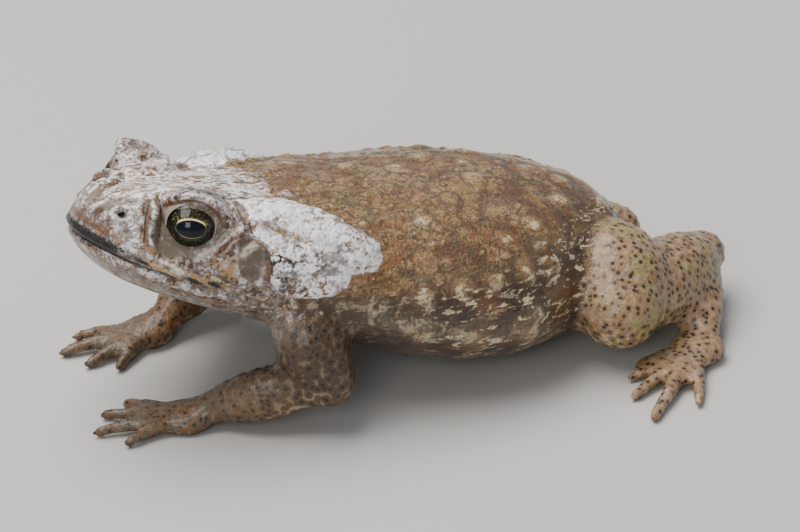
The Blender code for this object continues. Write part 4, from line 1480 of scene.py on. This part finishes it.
@dataclass
class ToadLids:
    """The smooth margins of one eye's lids, as one ring that hugs the eyeball. Sizes in millimetres."""

    side: Side
    half: tuple[float, float] = (5.3, 5.7)
    droop: float = 0.95
    ball: float = 6.5
    front: float = 4.4
    rear: float = 2.4
    top: float = 2.4
    bottom: float = 2.6
    clearance: float = 0.12
    steps: int = 144
    round_steps: int = 20
    ring: float = 10.0

    def build(self, finish: bpy.types.Material) -> bpy.types.Object:
        """Model the ring.

        Args:
            finish: the lids' material.

        Returns:
            The finished ring.
        """
        bm = bmesh.new()
        bmesh.ops.create_circle(bm, cap_ends=False, segments=self.round_steps, radius=1.0)
        bmesh.ops.transform(bm, matrix=Matrix.Rotation(math.pi / 2, 4, "X"), verts=bm.verts)
        bmesh.ops.translate(bm, vec=(self.ring, 0.0, 0.0), verts=bm.verts)
        bmesh.ops.spin(
            bm,
            geom=[*bm.verts, *bm.edges],
            cent=(0, 0, 0),
            axis=(0, 0, 1),
            angle=2 * math.pi,
            steps=self.steps,
            use_merge=True,
        )
        raised, margins = [], []
        eye = ToadEye(self.side)
        for vert in bm.verts:
            angle = math.atan2(vert.co.y, vert.co.x)
            outer = (math.hypot(vert.co.x, vert.co.y) - (self.ring - 1.0)) / 2.0
            vert.co, lift = self._spot(eye, angle, outer, vert.co.z)
            raised.append(lift)
            margins.append(max(0.0, 1.0 - outer * 6.0))
        return eye_piece("lids", self.side, bm, {"upper": raised, "margin": margins}, finish)

    def _spot(self, eye: ToadEye, angle: float, outer: float, rise: float) -> tuple[Vector, float]:
        """Where a point of the ring goes.

        Args:
            eye: the eyeball that the ring hugs.
            angle: the turn round the gaze, from the rear of the eye upwards.
            outer: how far the point is from the opening's edge, as a share of the lid's width.
            rise: how far it is through the lid's thickness, from -1 to 1.

        Returns:
            The place in the eye's own axes, and how far it is on the upper lid.
        """
        cosine, sine = math.cos(angle), math.sin(angle)
        tall = self.half[1] - (self.droop if sine > 0 else 0.0)
        edge = 1.0 / math.hypot(cosine / self.half[0], sine / tall)
        widths = (self.rear if cosine > 0 else self.front) * cosine**2
        widths += (self.top if sine > 0 else self.bottom) * sine**2
        turn = math.asin(min(edge / self.ball, 1.0)) + outer * widths / self.ball
        lift = float(fade(np.array([sine]), 0.0, 0.45)[0])
        thick = 0.26 + 0.16 * lift
        radius = max(self.ball, eye.reach(math.cos(turn)) + self.clearance) + 0.22 * lift + rise * thick
        across = radius * math.sin(turn)
        return Vector((across * cosine, across * sine, radius * math.cos(turn))), lift


@dataclass
class Studio:
    """A pale floor, soft lights and the camera at the photograph's angle. Lengths in metres."""

    azimuth: float = math.radians(-25.0)
    elevation: float = math.radians(27.0)
    distance: float = 1.15
    focal: float = 225.0
    target: Spot = (0.0008, -0.0055, 0.020)
    floor_colour: Colour = (0.54, 0.52, 0.49, 1.0)
    lamp_colour: Spot = (1.0, 0.98, 0.95)
    sky_colour: Colour = (0.85, 0.92, 1.0, 1.0)
    sky_strength: float = 0.42

    def build(self) -> None:
        """Set the stage."""
        self._floor()
        self._lights()
        self._camera()

    def _back(self) -> Vector:
        """Find where the camera looks from.

        Returns:
            The unit direction from the toad to the camera.
        """
        level = math.cos(self.elevation)
        return Vector(
            (math.sin(self.azimuth) * level, -math.cos(self.azimuth) * level, math.sin(self.elevation))
        )

    def _camera(self) -> None:
        """A long lens that frames the toad as the photograph does."""
        data = bpy.data.cameras.new("camera")
        data.lens = self.focal
        data.sensor_width = 36.0
        data.clip_start, data.clip_end = 0.05, 20.0
        camera = bpy.data.objects.new("camera", data)
        camera.location = Vector(self.target) + self._back() * self.distance
        camera.rotation_mode = "QUATERNION"
        camera.rotation_quaternion = (-self._back()).to_track_quat("-Z", "Y")
        bpy.context.scene.collection.objects.link(camera)
        bpy.context.scene.camera = camera

    def _floor(self) -> None:
        """A wide plain sheet just under the toad."""
        bm = bmesh.new()
        bmesh.ops.create_grid(bm, x_segments=1, y_segments=1, size=4.0)
        bmesh.ops.translate(bm, vec=(0.0, 0.0, -0.0002), verts=bm.verts)
        floor = add_object("floor", bm)
        graph = Graph("floor", {"Base Color": self.floor_colour, "Roughness": 0.8})
        floor.data.materials.append(graph.material)

    def _lights(self) -> None:
        """A broad overhead softbox, a weaker one from the front and an even sky."""
        boxes = [
            ("overhead", (-0.24, 0.20, 0.94), (1.3, 0.65), 17.5),
            ("front", (-0.7, -0.9, 0.55), (0.45, 0.45), 4.0),
        ]
        for name, spot, sides, power in boxes:
            data = bpy.data.lights.new(name, "AREA")
            data.shape = "RECTANGLE"
            data.size, data.size_y = sides
            data.energy = power
            data.color = self.lamp_colour
            lamp = bpy.data.objects.new(name, data)
            lamp.location = spot
            lamp.rotation_mode = "QUATERNION"
            lamp.rotation_quaternion = (-Vector(spot)).to_track_quat("-Z", "Y")
            bpy.context.scene.collection.objects.link(lamp)
        world = bpy.data.worlds.new("sky")
        world.use_nodes = True
        sky = world.node_tree.nodes["Background"]
        sky.inputs["Color"].default_value = self.sky_colour
        sky.inputs["Strength"].default_value = self.sky_strength
        bpy.context.scene.world = world


def main() -> None:
    """Build the toad's pieces, attach them to the root, hide the solids they replace, and set the stage."""
    skin = ToadSkin().build()
    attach(skin, "root")
    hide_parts(*[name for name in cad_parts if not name.startswith("eye_")])
    LOG.info("skin: %d points", len(skin.data.vertices))
    eye_finish, lid_finish = EyeFinish().make(), LidFinish().make()
    for side in Side:
        eye = ToadEye(side).build(eye_finish)
        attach(eye, "root")
        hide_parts(f"eye_{side.word}")
        LOG.info("%s: %d points", eye.name, len(eye.data.vertices))
        lids = ToadLids(side).build(lid_finish)
        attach(lids, "root")
        LOG.info("%s: %d points", lids.name, len(lids.data.vertices))
    Studio().build()


if __name__ == "__main__":
    logging.basicConfig(level=logging.INFO)
    main()
